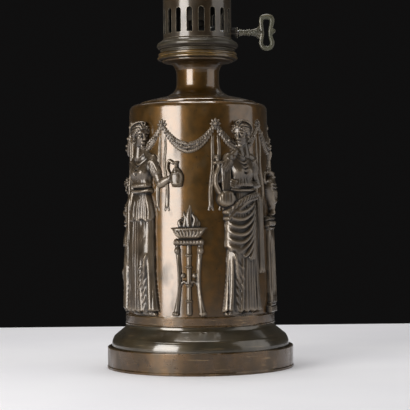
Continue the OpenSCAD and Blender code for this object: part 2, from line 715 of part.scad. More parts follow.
module wreath_bearer() {
    robed(169, figure_h, 1, [
        [[11, 121, 1, 5], [21, 112, 1, 4.2], [25, 126, 1, 3.2]],
        [[-12, 121, 0, 5], [-18, 100, 0, 4.4], [-11, 84, 1, 3.4]]]) {
        for (i = [0:7]) limb(169, [26 + 7 * cos(45 * i), 134 + 7 * sin(45 * i), 0, 2],
            [26 + 7 * cos(45 * i + 45), 134 + 7 * sin(45 * i + 45), 0, 2]);
        limb(169, [-17, 92, -1, 5], [-20, 40, -1.5, 5]);
    }
}
module basket_bearer() {
    robed(218, figure_h * 0.88, -1, [
        [[-10, 107, 1, 4.5], [-18, 118, 1, 4], [-10, 132, 1, 3.2]],
        [[11, 107, 0, 4.5], [16, 88, 0, 4], [12, 72, 1, 3.2]]]) {
        mass(218, [[-6, 134, 0, 3.6], [6, 134, 0, 3.6], [-10, 143, 0, 4], [10, 143, 0, 4]]);
    }
}
module attendant() {
    robed(257, figure_h * 0.72, 1, [
        [[8, 87, 1, 4], [13, 74, 1, 3.4], [18, 80, 1, 2.8]],
        [[-9, 87, 0, 4], [-13, 72, 0, 3.4], [-10, 58, 1, 2.8]]]) {
        mass(257, [[15, 84, 1, 2.6], [24, 84, 1, 2.6], [20, 80, 1, 2.6]]);
    }
}

// Festoons: a rosette between each two groups, with a swag to the next one and two ribbons
rosettes = [-30, 14, 57, 100, 144, 191, 239, 288];
rosette_z = body_h - rosette_drop;
module festoons() {
    for (i = [0:len(rosettes) - 1]) {
        a = rosettes[i];
        next = i + 1 < len(rosettes) ? rosettes[i + 1] : rosettes[0] + 360;
        span = (next - a) * body_r * PI / 180;
        mass(a, [[0, rosette_z, 0, 3.6], [0, rosette_z + 1.5, 0, 3.6]]);
        path(a, [for (k = [0:4]) let (t = k / 4)
            [span * t, rosette_z - swag_dip * 4 * t * (1 - t), -1, 2.2 + 2 * sin(180 * t)]]);
        for (s = [-1, 1]) path(a, [[s * 1.5, rosette_z, -1, 2], [s * 3, rosette_z - ribbon_h / 2, -1, 2],
                                   [s * 4.5, rosette_z - ribbon_h, -1, 2.2]]);
    }
}

module relief_jug_bearer() { casting() jug_bearer(); }
module relief_altar() { casting() altar(); }
module relief_lyre_player() { casting() lyre_player(); }
module relief_urn_stand() { casting() urn_stand(); }
module relief_torch_bearer() { casting() torch_bearer(); }
module relief_wreath_bearer() { casting() wreath_bearer(); }
module relief_basket_bearer() { casting() basket_bearer(); }
module relief_attendant() { casting() attendant(); }
module relief_festoons() {
    casting() difference() {
        festoons();
        jug_bearer($grow = joint_line);
        lyre_player($grow = joint_line);
        urn_stand($grow = joint_line);
        torch_bearer($grow = joint_line);
        wreath_bearer($grow = joint_line);
        basket_bearer($grow = joint_line);
        attendant($grow = joint_line);
    }
}

// Piston and what moves with it
module piston_disc() {
    color("#9a9c98") difference() {
        translate([0, 0, piston_z]) cylinder(r = tank_r - 1.2, h = piston_t);
        post(riser_x, 0, piston_z - 1, slide_out, piston_t + 2);
        post(rod_x, rod_y, piston_z - 1, rod_r, piston_t + 2);
    }
}
module piston_leather() {
    skin = 1.8;
    color("#5c4026") difference() {
        translate([0, 0, piston_z - leather_h]) cylinder(r = tank_r - run_fit, h = leather_h);
        translate([0, 0, piston_z - leather_h - 1]) cylinder(r = tank_r - run_fit - skin, h = leather_h + 1 - skin);
        post(riser_x, 0, piston_z - skin - 1, slide_out, skin + 2);
        post(rod_x, rod_y, piston_z - skin - 1, rod_r, skin + 2);
    }
}
module piston_nut() {
    color("#8f7a45") difference() {
        post(rod_x, rod_y, piston_top, 4, 3);
        post(rod_x, rod_y, piston_top - 1, rod_r, 5);
    }
}
module sliding_tube() {
    color("#b08d57") translate([riser_x, 0, piston_z - leather_h + 1])
        tube(slide_out, slide_in, riser_low + 20 - piston_z + leather_h - 1);
}

// A rack bar standing along Z, its teeth towards -Y and its pitch line at y = 0
module rack(teeth, module_size, low, width, back) {
    p = PI * module_size;
    translate([0, 0, low]) rotate([90, 0, 90]) linear_extrude(width) polygon(concat(
        [[back, 0]],
        [for (i = [0:teeth - 1]) each [
            [module_size * 1.1, p * (i + 0.18)], [-module_size * 0.85, p * (i + 0.39)],
            [-module_size * 0.85, p * (i + 0.61)], [module_size * 1.1, p * (i + 0.82)]]],
        [[back, p * teeth]]));
}
module winding_rack() {
    count = wind_travel_teeth + 5;
    color("#8c8f92") union() {
        translate([gear_x, rack_y, 0]) rack(count, wind_module, rack_low, gear_w, rack_back);
        post(rod_x, rod_y, piston_z - 1.8, rod_r, rack_low + 3 - piston_z);
    }
}

// A pinion standing along Z with a tooth gap on +X
module pinion(teeth, module_size, width) {
    r = teeth * module_size / 2;
    step = 360 / teeth;
    linear_extrude(width) polygon([for (i = [0:teeth - 1]) let (a = step * (i + 0.5)) each [
        (r - 1.15 * module_size) * [cos(a - 0.36 * step), sin(a - 0.36 * step)],
        (r + 0.8 * module_size) * [cos(a - 0.09 * step), sin(a - 0.09 * step)],
        (r + 0.8 * module_size) * [cos(a + 0.09 * step), sin(a + 0.09 * step)],
        (r - 1.15 * module_size) * [cos(a + 0.36 * step), sin(a + 0.36 * step)]]]);
}

// Winding arbor: pinion, shaft and the end that the key sits on
key_x = drum_r + bush_out + 0.8;
module key_arbor() {
    // A tooth of the rack stands level with the arbor, so a gap of the pinion faces it
    color("#8c8f92") union() {
        translate([gear_x, 0, key_z]) rotate([0, 90, 0]) rotate(90) pinion(wind_teeth, wind_module, gear_w);
        along_x(bracket_x - 1, 0, key_z, arbor_r, key_x + socket_l - 1 - bracket_x + 1);
        along_x(gear_x - 0.3, 0, key_z, arbor_r + 0.8, gear_w + 3);
    }
}

// Key: socket, baluster and an openwork bow with a small point
bow_x = key_x + socket_l + 8.2;
bow_r = bow_w / 2;
bow_mid = bow_x + bow_r;
module bow_outline() {
    lobe = bow_h / 2 - bow_r;
    difference() {
        union() {
            hull() {
                translate([bow_mid - bow_r + 2.4, bow_h / 2 - 2.4]) circle(r = 2.4);
                translate([bow_mid + bow_r - 3.4, bow_h / 2 - 3.4]) circle(r = 3.4);
                translate([bow_mid - bow_r + 2.4, 2]) circle(r = 2.4);
                translate([bow_mid + 1.5, 3.5]) circle(r = 3);
            }
            hull() {
                translate([bow_mid, -lobe]) circle(r = bow_r);
                translate([bow_mid - bow_r + 2.4, -2]) circle(r = 2.4);
                translate([bow_mid + 1.5, -3]) circle(r = 2.8);
            }
            translate([bow_mid - bow_r, -4]) square([bow_w * 0.72, 8]);
            hull() {
                translate([bow_mid + bow_r - 3, 0]) circle(r = 3.6);
                translate([bow_mid + bow_r + 1.2, 0.8]) circle(r = 0.7);
            }
        }
        hull() {
            translate([bow_mid - 0.6, bow_h / 2 - 6.2]) circle(r = 2.3);
            translate([bow_mid - 0.9, 2]) circle(r = 1.6);
        }
        hull() {
            translate([bow_mid - 0.2, -lobe]) circle(r = bow_r - 3.2);
            translate([bow_mid - 0.9, -3]) circle(r = 1.6);
        }
        translate([bow_mid - 2.5, -3.4]) square([3.2, 6]);
    }
}
module winding_key() {
    x1 = key_x + socket_l;
    color("#6d6c54") difference() {
        union() {
            translate([key_x, 0, key_z]) rotate([0, 90, 0]) rotate_extrude() polygon([
                [0, 0], [socket_r + 0.4, 0], [socket_r + 0.4, 1], [socket_r, 1.4], [socket_r, socket_l - 0.8],
                [socket_r + 0.3, socket_l - 0.2], [socket_r + 0.3, socket_l + 0.6], [socket_r - 0.9, socket_l + 1.6],
                [socket_r - 0.4, socket_l + 2.8], [socket_r + 1, socket_l + 4.4], [socket_r + 1.2, socket_l + 5.2],
                [socket_r + 0.2, socket_l + 6.6], [socket_r - 0.6, socket_l + 8.8], [0, socket_l + 8.8]]);
            translate([0, bow_t / 2, key_z]) rotate([90, 0, 0]) linear_extrude(bow_t) bow_outline();
        }
        along_x(key_x - 1, 0, key_z, arbor_r, x1 - key_x);
        along_y(key_x + socket_l - 2.4, -6, key_z, 0.7, 12);
    }
}
module key_pin() {
    color("#9a926c") along_y(key_x + socket_l - 2.4, -socket_r - 0.5, key_z, 0.7, socket_r - arbor_r + 0.4);
}

// Wick carrier: a ring between the tubes, a finger through the slot, and its rack
module wick_carrier() {
    mid = (air_out + burner_in) / 2;
    y0 = wick_gear_y;
    color("#a8864a") difference() {
        union() {
            translate([0, 0, wick_low]) tube(mid + 1.5, mid - 1.5, carrier_h);
            translate([finger_x, mid, wick_low]) cube([finger_w, y0 + 1 - mid, carrier_h]);
            translate([wick_rack_x, y0, 0]) mirror([1, 0, 0]) rotate([0, 0, 90]) mirror([0, 1, 0])
                rack(wick_travel_teeth + 3, wick_module, wick_rack_low, wick_gear_w - 0.4, wick_rack_back);
        }
        post(riser_x, 0, wick_low - 1, riser_r + loose_fit, carrier_h + 2);
    }
}
module wick() {
    mid = (air_out + burner_in) / 2;
    color("#d8cdb4") translate([0, 0, wick_low + carrier_h])
        tube(mid + wick_t / 2, mid - wick_t / 2, burner_bottom + burner_h - wick_down - wick_low - carrier_h);
}
knob_y = drum_r + 3;
module wick_shaft() {
    color("#8c8f92") union() {
        translate([wick_x, wick_gear_y, wick_gear_z]) rotate([-90, 0, 0])
            pinion(wick_teeth, wick_module, wick_gear_w);
        along_y(wick_x, wick_gear_y, wick_gear_z, wick_shaft_r, knob_y + knob_t - 1 - wick_gear_y);
    }
}
module wick_knob() {
    notches = 24;
    color("#7c7350") translate([wick_x, knob_y, wick_gear_z]) rotate([-90, 0, 0]) difference() {
        union() {
            cylinder(r = knob_r, h = knob_t);
            translate([0, 0, -1]) cylinder(r = wick_shaft_r + 1.6, h = 2);
        }
        translate([0, 0, -2]) cylinder(r = wick_shaft_r, h = knob_t + 1);
        for (i = [0:notches - 1]) rotate(360 * i / notches)
            translate([knob_r, 0, -1]) cylinder(r = 0.5, h = knob_t + 2, $fn = 16);
        translate([0, 0, knob_t - 0.6]) tube(knob_r - 1.4, knob_r - 2.4, 2);
    }
}

// Chimney holder: a sleeve that slides on the burner, three arms and a ring of spring fingers
module chimney_holder() {
    ring_in = chimney_foot_r - 3;
    grip = chimney_foot_r + run_fit;
    color("#6a5d43") translate([0, 0, stop_top]) difference() {
        union() {
            tube(burner_r + 0.8, burner_r + run_fit, 6);
            for (a = [90, 210, 330]) rotate(a)
                translate([burner_r + 0.4, -2, 0]) cube([ring_in + 1 - burner_r, 4, holder_t]);
            tube(grip + 0.8, ring_in, holder_t);
            tube(grip + 0.8, grip, holder_t + finger_h);
        }
        for (i = [0:11]) rotate(30 * i + 15) translate([grip - 1, -0.5, holder_t + 1]) cube([4, 1, finger_h + 1]);
    }
}

// Glass chimney: wide foot, narrowed above the flame, and a tall stack
chimney_foot = [chimney_foot_r, chimney_foot_r - 0.4];
module chimney() {
    function shape(inset) = concat(
        [[chimney_foot[0] - inset, 0], [chimney_foot[1] - inset, chimney_waist]],
        [for (i = [1:8]) let (t = i / 8, k = (1 - cos(180 * t)) / 2)
            [chimney_foot[1] - inset + (chimney_top_r - chimney_foot[1]) * k, chimney_waist + 12 * t]],
        [[chimney_top_r - 0.4 - inset, chimney_h]]);
    inside = shape(glass_t);
    color("#cfd8d8", 0.35) translate([0, 0, glass_z]) turned(concat(
        shape(0), [for (i = [len(inside) - 1:-1:0]) inside[i]]));
}

base_ring();
foot_moulding();
foot_band();
bottom_plate();
plate_screws();
body_floor();
floor_screws();
body_shell();
top_cap();
neck();
neck_nut();
lower_collar();
burner_ring();
deck_plate();
gallery();
key_bush();
wick_bush();
arbor_bracket();
rack_guide();
reservoir();
reservoir_lid();
piston_spring();
riser_tube();
moderator_needle();
burner_tubes();
burner_posts();
wick_rack_box();
relief_jug_bearer();
relief_altar();
relief_lyre_player();
relief_urn_stand();
relief_torch_bearer();
relief_wreath_bearer();
relief_basket_bearer();
relief_attendant();
relief_festoons();
piston_disc();
piston_leather();
piston_nut();
sliding_tube();
winding_rack();
key_arbor();
winding_key();
key_pin();
wick_carrier();
wick();
wick_shaft();
wick_knob();
chimney_holder();
chimney();
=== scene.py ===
# %% [markdown]
# # A bronze table oil lamp
# A turned foot, a body with applied castings, a narrow neck, two collars and a slotted gallery
# with a winding key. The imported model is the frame: each piece here goes where the frame says.

# %% Load the frame
import math

import bmesh
import bpy
import numpy as np
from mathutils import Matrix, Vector


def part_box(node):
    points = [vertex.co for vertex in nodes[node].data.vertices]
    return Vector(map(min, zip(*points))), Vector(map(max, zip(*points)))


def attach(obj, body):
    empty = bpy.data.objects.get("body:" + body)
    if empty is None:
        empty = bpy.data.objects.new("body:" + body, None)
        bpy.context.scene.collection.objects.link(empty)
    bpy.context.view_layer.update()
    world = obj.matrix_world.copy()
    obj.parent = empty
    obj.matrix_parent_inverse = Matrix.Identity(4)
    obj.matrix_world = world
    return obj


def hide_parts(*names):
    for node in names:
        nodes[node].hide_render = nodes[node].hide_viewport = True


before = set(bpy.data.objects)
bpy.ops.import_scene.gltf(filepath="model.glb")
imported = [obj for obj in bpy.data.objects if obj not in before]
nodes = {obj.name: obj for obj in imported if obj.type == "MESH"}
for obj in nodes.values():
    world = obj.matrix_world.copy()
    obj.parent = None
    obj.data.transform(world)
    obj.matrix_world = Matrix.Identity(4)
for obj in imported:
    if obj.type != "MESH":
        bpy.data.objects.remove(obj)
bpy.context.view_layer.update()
MM = 0.001
print("nodes in the frame:", len(nodes))


# %% [markdown]
# ## Camera
# The photograph was taken level, a little over a metre away, with a long lens. A camera could be
# matched by eye, but the rings of a turned lamp tell more: each one looks like an ellipse that
# opens with its distance above or below the lens. They gave the height and the distance, and the
# two outlines gave the roll of a little more than half a degree.

# %% Camera
PICTURE = 410
FOCAL_PIXELS = 1400
SENSOR = 36
camera_at = Vector((4.7, -1120, 123.7)) * MM
HORIZON_BELOW_CENTRE = 6
ROLL = 0.6
camera = bpy.data.objects.new("camera", bpy.data.cameras.new("camera"))
camera.data.lens = FOCAL_PIXELS / PICTURE * SENSOR
camera.data.shift_y = HORIZON_BELOW_CENTRE / PICTURE
camera.location = camera_at
camera.rotation_euler = (math.radians(90), math.radians(ROLL), 0)
bpy.context.scene.collection.objects.link(camera)
bpy.context.scene.camera = camera
bpy.context.scene.view_settings.view_transform = "Standard"
print("camera: %.0f mm lens, %.2f m away" % (camera.data.lens, -camera.location.y))


# %% [markdown]
# ## Shader maths
# A finish could be wired by hand, node by node, but the thought behind it is arithmetic: this
# much patina plus that much dust. So one class wraps a socket and gives it Python's operators,
# and one method adds any other node.

# %% Values
class Value:
    """A socket of a node, with arithmetic that adds Math nodes."""

    def __init__(self, owner, socket):
        self.owner, self.socket = owner, socket

    def math(self, operation, a, b, clamp=False):
        settings = {"operation": operation, "use_clamp": clamp}
        return self.owner.node("ShaderNodeMath", settings, {0: a, 1: b})

    def __add__(self, other):
        return self.math("ADD", self, other)

    def __radd__(self, other):
        return self.math("ADD", other, self)

    def __sub__(self, other):
        return self.math("SUBTRACT", self, other)

    def __rsub__(self, other):
        return self.math("SUBTRACT", other, self)

    def __mul__(self, other):
        return self.math("MULTIPLY", self, other)

    def __rmul__(self, other):
        return self.math("MULTIPLY", other, self)

    def limited(self):
        """The value kept between 0 and 1."""
        return self.math("ADD", self, 0.0, clamp=True)


# %% Nodes
class NodeTree:
    """The nodes of a material or of the room."""

    def __init__(self, tree):
        self.tree = tree

    def feed(self, socket, value):
        """Links a Value to a socket, or sets the socket to a plain number or colour."""
        if isinstance(value, Value):
            self.tree.links.new(value.socket, socket)
        else:
            socket.default_value = value

    def node(self, kind, settings=None, inputs=None, output=0):
        """Adds a node and returns one of its outputs."""
        made = self.tree.nodes.new(kind)
        for name, setting in (settings or {}).items():
            setattr(made, name, setting)
        for key, value in (inputs or {}).items():
            self.feed(made.inputs[key], value)
        return Value(self, made.outputs[output])

    def mix(self, first, second, share):
        return self.node("ShaderNodeMix", {"data_type": "RGBA"},
                         {0: share, 6: first, 7: second}, output=2)


# %% [markdown]
# ## What a finish is made of
# Old metal differs from place to place: it is worn on its edges. Painted shade darkens it under
# ledges and inside a chimney's seat. Such places could be painted on each mesh. Here a finish asks
# the surface itself, which way it faces and how sharply it bends, so one recipe fits every piece.

# %% Finishes
class Finish(NodeTree):
    """A material under construction, with its own Principled shader. Socket names are written with
    underscores; fixed ones are set once, wired ones take values."""

    def __init__(self, name, **fixed):
        self.material = bpy.data.materials.new(name)
        self.material.use_nodes = True
        super().__init__(self.material.node_tree)
        self.shader = self.tree.nodes["Principled BSDF"]
        for socket, number in fixed.items():
            self.shader.inputs[socket.replace("_", " ")].default_value = number

    def place(self, scale=(1, 1, 1)):
        """The place on the piece in metres, stretched along each axis."""
        at = self.node("ShaderNodeTexCoord", output="Object")
        return self.node("ShaderNodeMapping", None, {"Vector": at, "Scale": scale})

    def noise(self, scale, detail=4, stretch=(1, 1, 1), low=0.35, high=0.65):
        """Noise of the given number of waves a metre, spread from 0 at low to 1 at high."""
        raw = self.node("ShaderNodeTexNoise", None,
                        {"Vector": self.place(stretch), "Scale": scale, "Detail": detail})
        return self.spread(raw, low, high)

    def spread(self, value, low, high):
        """The value's range from low to high as 0 to 1, cut off at both ends."""
        return self.node("ShaderNodeMapRange", {"clamp": True},
                         {"Value": value, "From Min": low, "From Max": high})

    def stored(self, name):
        """A number that a sculpted mesh stores at each point."""
        return self.node("ShaderNodeAttribute", {"attribute_name": name}, output="Fac")

    def edge(self, radius):
        """1 on edges that are sharper than the radius in metres, 0 on flat and gently bent metal."""
        soft = self.node("ShaderNodeBevel", {"samples": 4}, {"Radius": radius}, "Normal")
        return self.spread(self.dot(soft, self.true_normal()), 0.985, 0.88)

    def dot(self, first, second):
        return self.node("ShaderNodeVectorMath", {"operation": "DOT_PRODUCT"}, {0: first, 1: second}, "Value")

    def true_normal(self):
        return self.node("ShaderNodeNewGeometry", output="True Normal")

    def under(self):
        """1 where a surface faces down, 0 where it stands upright or faces up."""
        normal = self.node("ShaderNodeNewGeometry", output="Normal")
        upward = self.node("ShaderNodeSeparateXYZ", None, {0: normal}, "Z")
        return self.spread(upward, -0.12, -0.5)

    def inward(self):
        """1 on the inside of a round part that stands on the lamp's axis, 0 on its outside."""
        outward = self.dot(self.place((1, 1, 0)), self.true_normal())
        return self.spread(outward, 0.01, 0.002)

    def set(self, **wired):
        for socket, value in wired.items():
            self.feed(self.shader.inputs[socket.replace("_", " ")], value)

    def bump(self, height, depth):
        """Relief of the given depth in metres."""
        self.set(Normal=self.node("ShaderNodeBump", None, {"Distance": depth, "Height": height}, "Normal"))


def colour(red, green, blue):
    """A colour written as the screen shows it, 0 to 255, in the linear values that shaders use."""
    linear = [(c / 255 / 12.92) if c < 11 else ((c / 255 + 0.055) / 1.055) ** 2.4
              for c in (red, green, blue)]
    return (*linear, 1.0)


# %% [markdown]
# ## Patinated metal
# Every bronze and brass part shares one recipe: a mottled patina between two tones, fine rings
# left by the lathe, pits, scratches, and a thin wax coat that gives the pale reflections of the
# lights. The tones and the amounts differ. Where it is asked for, the metal is worn pale on its
# edges, and painted shade darkens it under ledges and near black on the inside, where it also keeps
# less wax and is rougher. Noise in a piece's own coordinates needs no unwrapping, and stretched
# along the axis it turns into the lathe's rings.

# %% Metal recipe
SCRATCH_TONE = (168, 140, 100)
PIT_TONE = (20, 14, 8)
# Painted shade for surfaces that face down
PAINTED_UNDER_SHADE = (30, 21, 9)
# Painted shade, near black, for the inside of round parts
PAINTED_INSIDE_SHADE = (12, 10, 8)
EDGE_REACH = 0.0005
GRAIN_DEPTH = 0.00005


def metal(name, dark, warm, tarnish, gloss=0.36, coat=1.0, metallic=0.5, mottle=60,
          tarnished=0.3, rings=0.5, scratched=0.3, wax=0.2, edges=0.0, edge_tone=(150, 138, 116),
          shade_and_dullness_under=0.0, shade_and_dullness_inside=False, pitted=0.4):
    finish = Finish(name, Coat_Roughness=wax, Coat_IOR=1.7)
    cloud = finish.noise(mottle, 6)
    speck = finish.noise(900, 3, low=0.52, high=0.72)
    stain = finish.noise(mottle * 0.6, 8, (1, 1, 0.6), 0.56 - 0.2 * tarnished, 0.8 - 0.2 * tarnished)
    turned = finish.noise(14, 2, (1, 1, 60))
    scratch = finish.noise(50, 2, (1, 1, 14), 0.64, 0.7) * finish.noise(30, 2)
    pit = finish.noise(340, 2, low=0.67, high=0.73) * finish.noise(25, 2) * pitted
    base = finish.mix(dark, warm, cloud)
    base = finish.mix(base, tarnish, (stain * 0.75 + speck * 0.25 * tarnished).limited())
    if scratched:
        base = finish.mix(base, colour(*SCRATCH_TONE), scratch * scratched)
    base = finish.mix(base, colour(*PIT_TONE), pit.limited())
    shine = metallic - stain * 0.25
    wax_left = coat - stain * coat * 0.6
    rough = gloss + stain * 0.22 + cloud * 0.06 + turned * 0.04
    # Painted shade: the base is darkened where the surface faces down; there it also keeps less wax and is
    # rougher
    if shade_and_dullness_under:
        facing_down = finish.under() * shade_and_dullness_under
        base = finish.mix(base, colour(*PAINTED_UNDER_SHADE), facing_down)
        wax_left = (1 - facing_down) * wax_left
        rough = rough + facing_down * 0.3
    # Painted shade: inside faces are darkened near black; there they also lose shine and wax and are rougher
    if shade_and_dullness_inside:
        inner_faces = finish.inward()
        base = finish.mix(base, colour(*PAINTED_INSIDE_SHADE), inner_faces)
        shine = (1 - inner_faces) * shine
        wax_left = (1 - inner_faces) * wax_left
        rough = rough + inner_faces * 0.5
    if edges:
        worn = finish.edge(EDGE_REACH) * (0.35 + finish.noise(220, 4) * 0.9) * edges
        base = finish.mix(base, colour(*edge_tone), worn.limited())
    finish.set(Base_Color=base, Metallic=shine, Roughness=rough.limited(), Coat_Weight=wax_left.limited())
    finish.bump(turned * rings + speck * -0.3 + scratch * -0.6 * scratched - pit * 2.0, GRAIN_DEPTH)
    return finish.material


# %% [markdown]
# ## Castings of the frieze
# Hands have rubbed the high edges bright and the hollows have kept dust and dark patina. The
# sculpted meshes store both as numbers at each point, so the finish follows the modelling.

# %% Relief finish
def relief_bronze():
    finish = Finish("relief_bronze", Coat_Roughness=0.2, Coat_IOR=1.7)
    ridge, hollow = finish.stored("ridge"), finish.stored("hollow")
    cloud = finish.noise(90, 6)
    base = finish.mix(colour(53, 43, 29), colour(74, 60, 43), cloud)
    worn = (ridge * (0.5 + cloud * 0.6)).limited()
    base = finish.mix(base, colour(114, 100, 81), worn)
    base = finish.mix(base, colour(14, 11, 8), (hollow * 1.4).limited())
    finish.set(Base_Color=base, Metallic=0.5 - hollow * 0.3,
               Roughness=(0.38 - worn * 0.08 + hollow * 0.3 + cloud * 0.05).limited(),
               Coat_Weight=(0.7 - hollow * 0.9).limited())
    finish.bump(finish.noise(500, 4) * 0.5 + finish.noise(1600, 2) * 0.25, 0.00012)
    return finish.material


# %% [markdown]
# ## Plain materials
# Steel, tinned sheet, leather, the cotton wick and the glass are simpler, but each still
# shows its own grain: brushed lines, cloudy tin, creases, a woven wick and a trace of smoke. One
# noise for all would do from afar; a cell pattern gives leather its creases, and waves across the
# wick its weave.

# %% Steel, tin, leather, cotton and glass
def steel():
    finish = Finish("steel", Metallic=1.0)
    grain = finish.noise(200, 3, (1, 1, 12))
    rust = finish.noise(80, 6, low=0.6, high=0.75)
    finish.set(Base_Color=finish.mix(finish.mix(colour(120, 122, 124), colour(160, 162, 164), grain),
                                     colour(96, 62, 40), rust * 0.6),
               Roughness=(0.32 + grain * 0.1 + rust * 0.3).limited())
    finish.bump(grain, 0.00003)
    return finish.material


def tinplate():
    finish = Finish("tinplate", Metallic=0.95)
    flake = finish.node("ShaderNodeTexVoronoi", None, {"Vector": finish.place(), "Scale": 90.0},
                        "Distance")
    stain = finish.noise(40, 5)
    finish.set(Base_Color=finish.mix(finish.mix(colour(150, 152, 148), colour(178, 180, 176), flake),
                                     colour(110, 104, 88), stain * 0.6),
               Roughness=(0.3 + stain * 0.2).limited())
    finish.bump(flake, 0.00004)
    return finish.material


def leather():
    finish = Finish("leather")
    crease = finish.node("ShaderNodeTexVoronoi", {"feature": "DISTANCE_TO_EDGE"},
                         {"Vector": finish.place(), "Scale": 700.0}, "Distance")
    cell = finish.spread(crease, 0.0, 0.2)
    finish.set(Base_Color=finish.mix(colour(52, 32, 20), colour(104, 70, 42), cell),
               Roughness=(0.75 - cell * 0.25).limited())
    finish.bump(cell, 0.0002)
    return finish.material


def cotton():
    finish = Finish("cotton", Roughness=0.95)
    across = finish.node("ShaderNodeTexWave", {"bands_direction": "Z"},
                         {"Vector": finish.place(), "Scale": 300.0, "Distortion": 1.5})
    finish.set(Base_Color=finish.mix(finish.mix(colour(176, 160, 128), colour(226, 216, 194), across),
                                     colour(60, 46, 34), finish.noise(120, 4, low=0.5, high=0.8)))
    finish.bump(across, 0.0003)
    return finish.material


def glass():
    finish = Finish("glass", Transmission_Weight=1.0, IOR=1.45, Coat_Weight=0.0)
    smoke = finish.noise(25, 4, low=0.45, high=0.9)
    finish.set(Base_Color=finish.mix(colour(250, 252, 251), colour(232, 230, 222), smoke),
               Roughness=(0.02 + smoke * 0.04).limited())
    return finish.material


# %% [markdown]
# ## One finish for each slot
# The body is the warmest bronze, with the most wax. The foot is duller and greener, its bottom
# ring brighter from handling, and the works get painted shade: dark tones without wax, so the
# lamp's inside reads dark. Tones are written as the screen shows them.

# %% Finishes by slot
finishes = {
    "body_bronze": metal("body_bronze", colour(69, 48, 9), colour(90, 60, 10),
                         colour(62, 46, 15), metallic=0.7, mottle=150, tarnished=0.15, rings=0.3,
                         scratched=0.0, wax=0.13, edges=0.5, shade_and_dullness_under=0.6, pitted=0.8),
    "relief_bronze": relief_bronze(),
    "foot_bronze": metal("foot_bronze", colour(52, 44, 29), colour(74, 63, 43),
                         colour(45, 43, 31), gloss=0.25, tarnished=0.5, scratched=0.2, wax=0.1),
    "base_bronze": metal("base_bronze", colour(64, 45, 17), colour(88, 62, 26),
                         colour(56, 44, 22), gloss=0.2, coat=0.6, metallic=0.7, mottle=110,
                         tarnished=0.6, scratched=0.5, wax=0.08, edges=0.8, edge_tone=(170, 150, 120),
                         pitted=0.9),
    "collar_brass": metal("collar_brass", colour(64, 48, 20), colour(108, 80, 32),
                          colour(56, 46, 24), gloss=0.28, tarnished=0.3, wax=0.15, edges=0.8,
                          edge_tone=(210, 170, 98), shade_and_dullness_under=0.95),
    "ring_brass": metal("ring_brass", colour(46, 38, 24), colour(70, 60, 40),
                        colour(44, 42, 32), gloss=0.36, coat=0.5, tarnished=0.7, wax=0.16, edges=0.7,
                        shade_and_dullness_under=0.9),
    "gallery_brass": metal("gallery_brass", colour(46, 34, 18), colour(68, 53, 34),
                           colour(44, 41, 32), gloss=0.3, coat=0.9, tarnished=0.5, wax=0.12, edges=1.0,
                           edge_tone=(176, 166, 144), shade_and_dullness_inside=True),
    "key_brass": metal("key_brass", colour(58, 56, 46), colour(92, 86, 68),
                       colour(66, 68, 50), gloss=0.36, coat=0.5, mottle=160, tarnished=0.8,
                       rings=0.1, metallic=0.4, edges=0.8, edge_tone=(160, 154, 130)),
    # Painted shade: the works get dark tones without wax, so the lamp's inside reads dark
    "works_brass": metal("works_brass", colour(30, 24, 14), colour(44, 36, 22),
                         colour(24, 20, 15), gloss=0.55, coat=0.0, metallic=0.2, tarnished=0.4),
    "steel": steel(),
    "tinplate": tinplate(),
    "leather": leather(),
    "cotton": cotton(),
    "glass": glass(),
}
print("finishes:", len(finishes))


# %% [markdown]
# ## Sculpting the castings
# Each casting was modelled in wax as a high relief and soldered to the body, so all of it but the
# head can be written as one height over the body's wall. A grid of heights is built up like wax:
# limbs, swellings and cut-out forms are joined with a soft maximum, and folds are laid on the
# cloth as rounded ridges with sharp valleys between them. Sculpting by hand with brushes can't be
# written down; a formula for each form can, and gives the same result each time. All measures
# are millimetres.

# %% The wall that the castings sit on
def wall_profile():
    """Radius of the body's wall at any height, measured on the body shell."""
    shell = nodes["body_shell"].data
    at = np.empty(len(shell.vertices) * 3)
    shell.vertices.foreach_get("co", at)
    at = at.reshape(-1, 3) / MM
    radius, height = np.hypot(at[:, 0], at[:, 1]), at[:, 2]
    wall = radius > 0.9 * radius.max()
    foot, top = height[wall].min(), height[wall].max()
    ends = [radius[wall & (np.abs(height - z) < 0.3)].max() for z in (foot, top)]
    print("body wall: radius %.2f at %.1f, %.2f at %.1f mm" % (ends[0], foot, ends[1], top))
    return foot, top, ends[0], ends[1]


wall_foot, wall_top, foot_radius, top_radius = wall_profile()


def wall_radius(up):
    """The wall's radius at a height over its foot."""
    return foot_radius + (top_radius - foot_radius) * up / (wall_top - wall_foot)


# %% Lines and round edges
def smooth_line(points, steps=6):
    """Points of a smooth curve through the given ones (Catmull-Rom); each may carry more values."""
    p = np.array(points, float)
    if len(p) < 3:
        return p
    p = np.vstack([2 * p[0] - p[1], p, 2 * p[-1] - p[-2]])
    out = []
    for a, b, c, d in zip(p, p[1:], p[2:], p[3:]):
        for t in np.arange(steps) / steps:
            out.append(0.5 * (2 * b + (c - a) * t + (2 * a - 5 * b + 4 * c - d) * t ** 2
                              + (3 * b - a - 3 * c + d) * t ** 3))
    return np.vstack(out + [p[-2]])


def to_segment(x, y, a, b):
    """Distance of places from the line between two points, and where along it they are nearest."""
    d = b - a
    t = np.clip(((x - a[0]) * d[0] + (y - a[1]) * d[1]) / max(d[0] ** 2 + d[1] ** 2, 1e-9), 0, 1)
    return np.hypot(x - a[0] - t * d[0], y - a[1] - t * d[1]), t


def bell(x, y, middle_x, middle_y, reach):
    """A soft round hill: 1 in its middle, 0.37 at its reach."""
    return np.exp(-((x - middle_x) ** 2 + (y - middle_y) ** 2) / (reach * reach))


def rounded(share):
    """Height of a round edge: 0 at its foot, 1 from share 1 on."""
    return np.sqrt(np.clip(1 - (1 - np.clip(share, 0, 1)) ** 2, 0, 1))


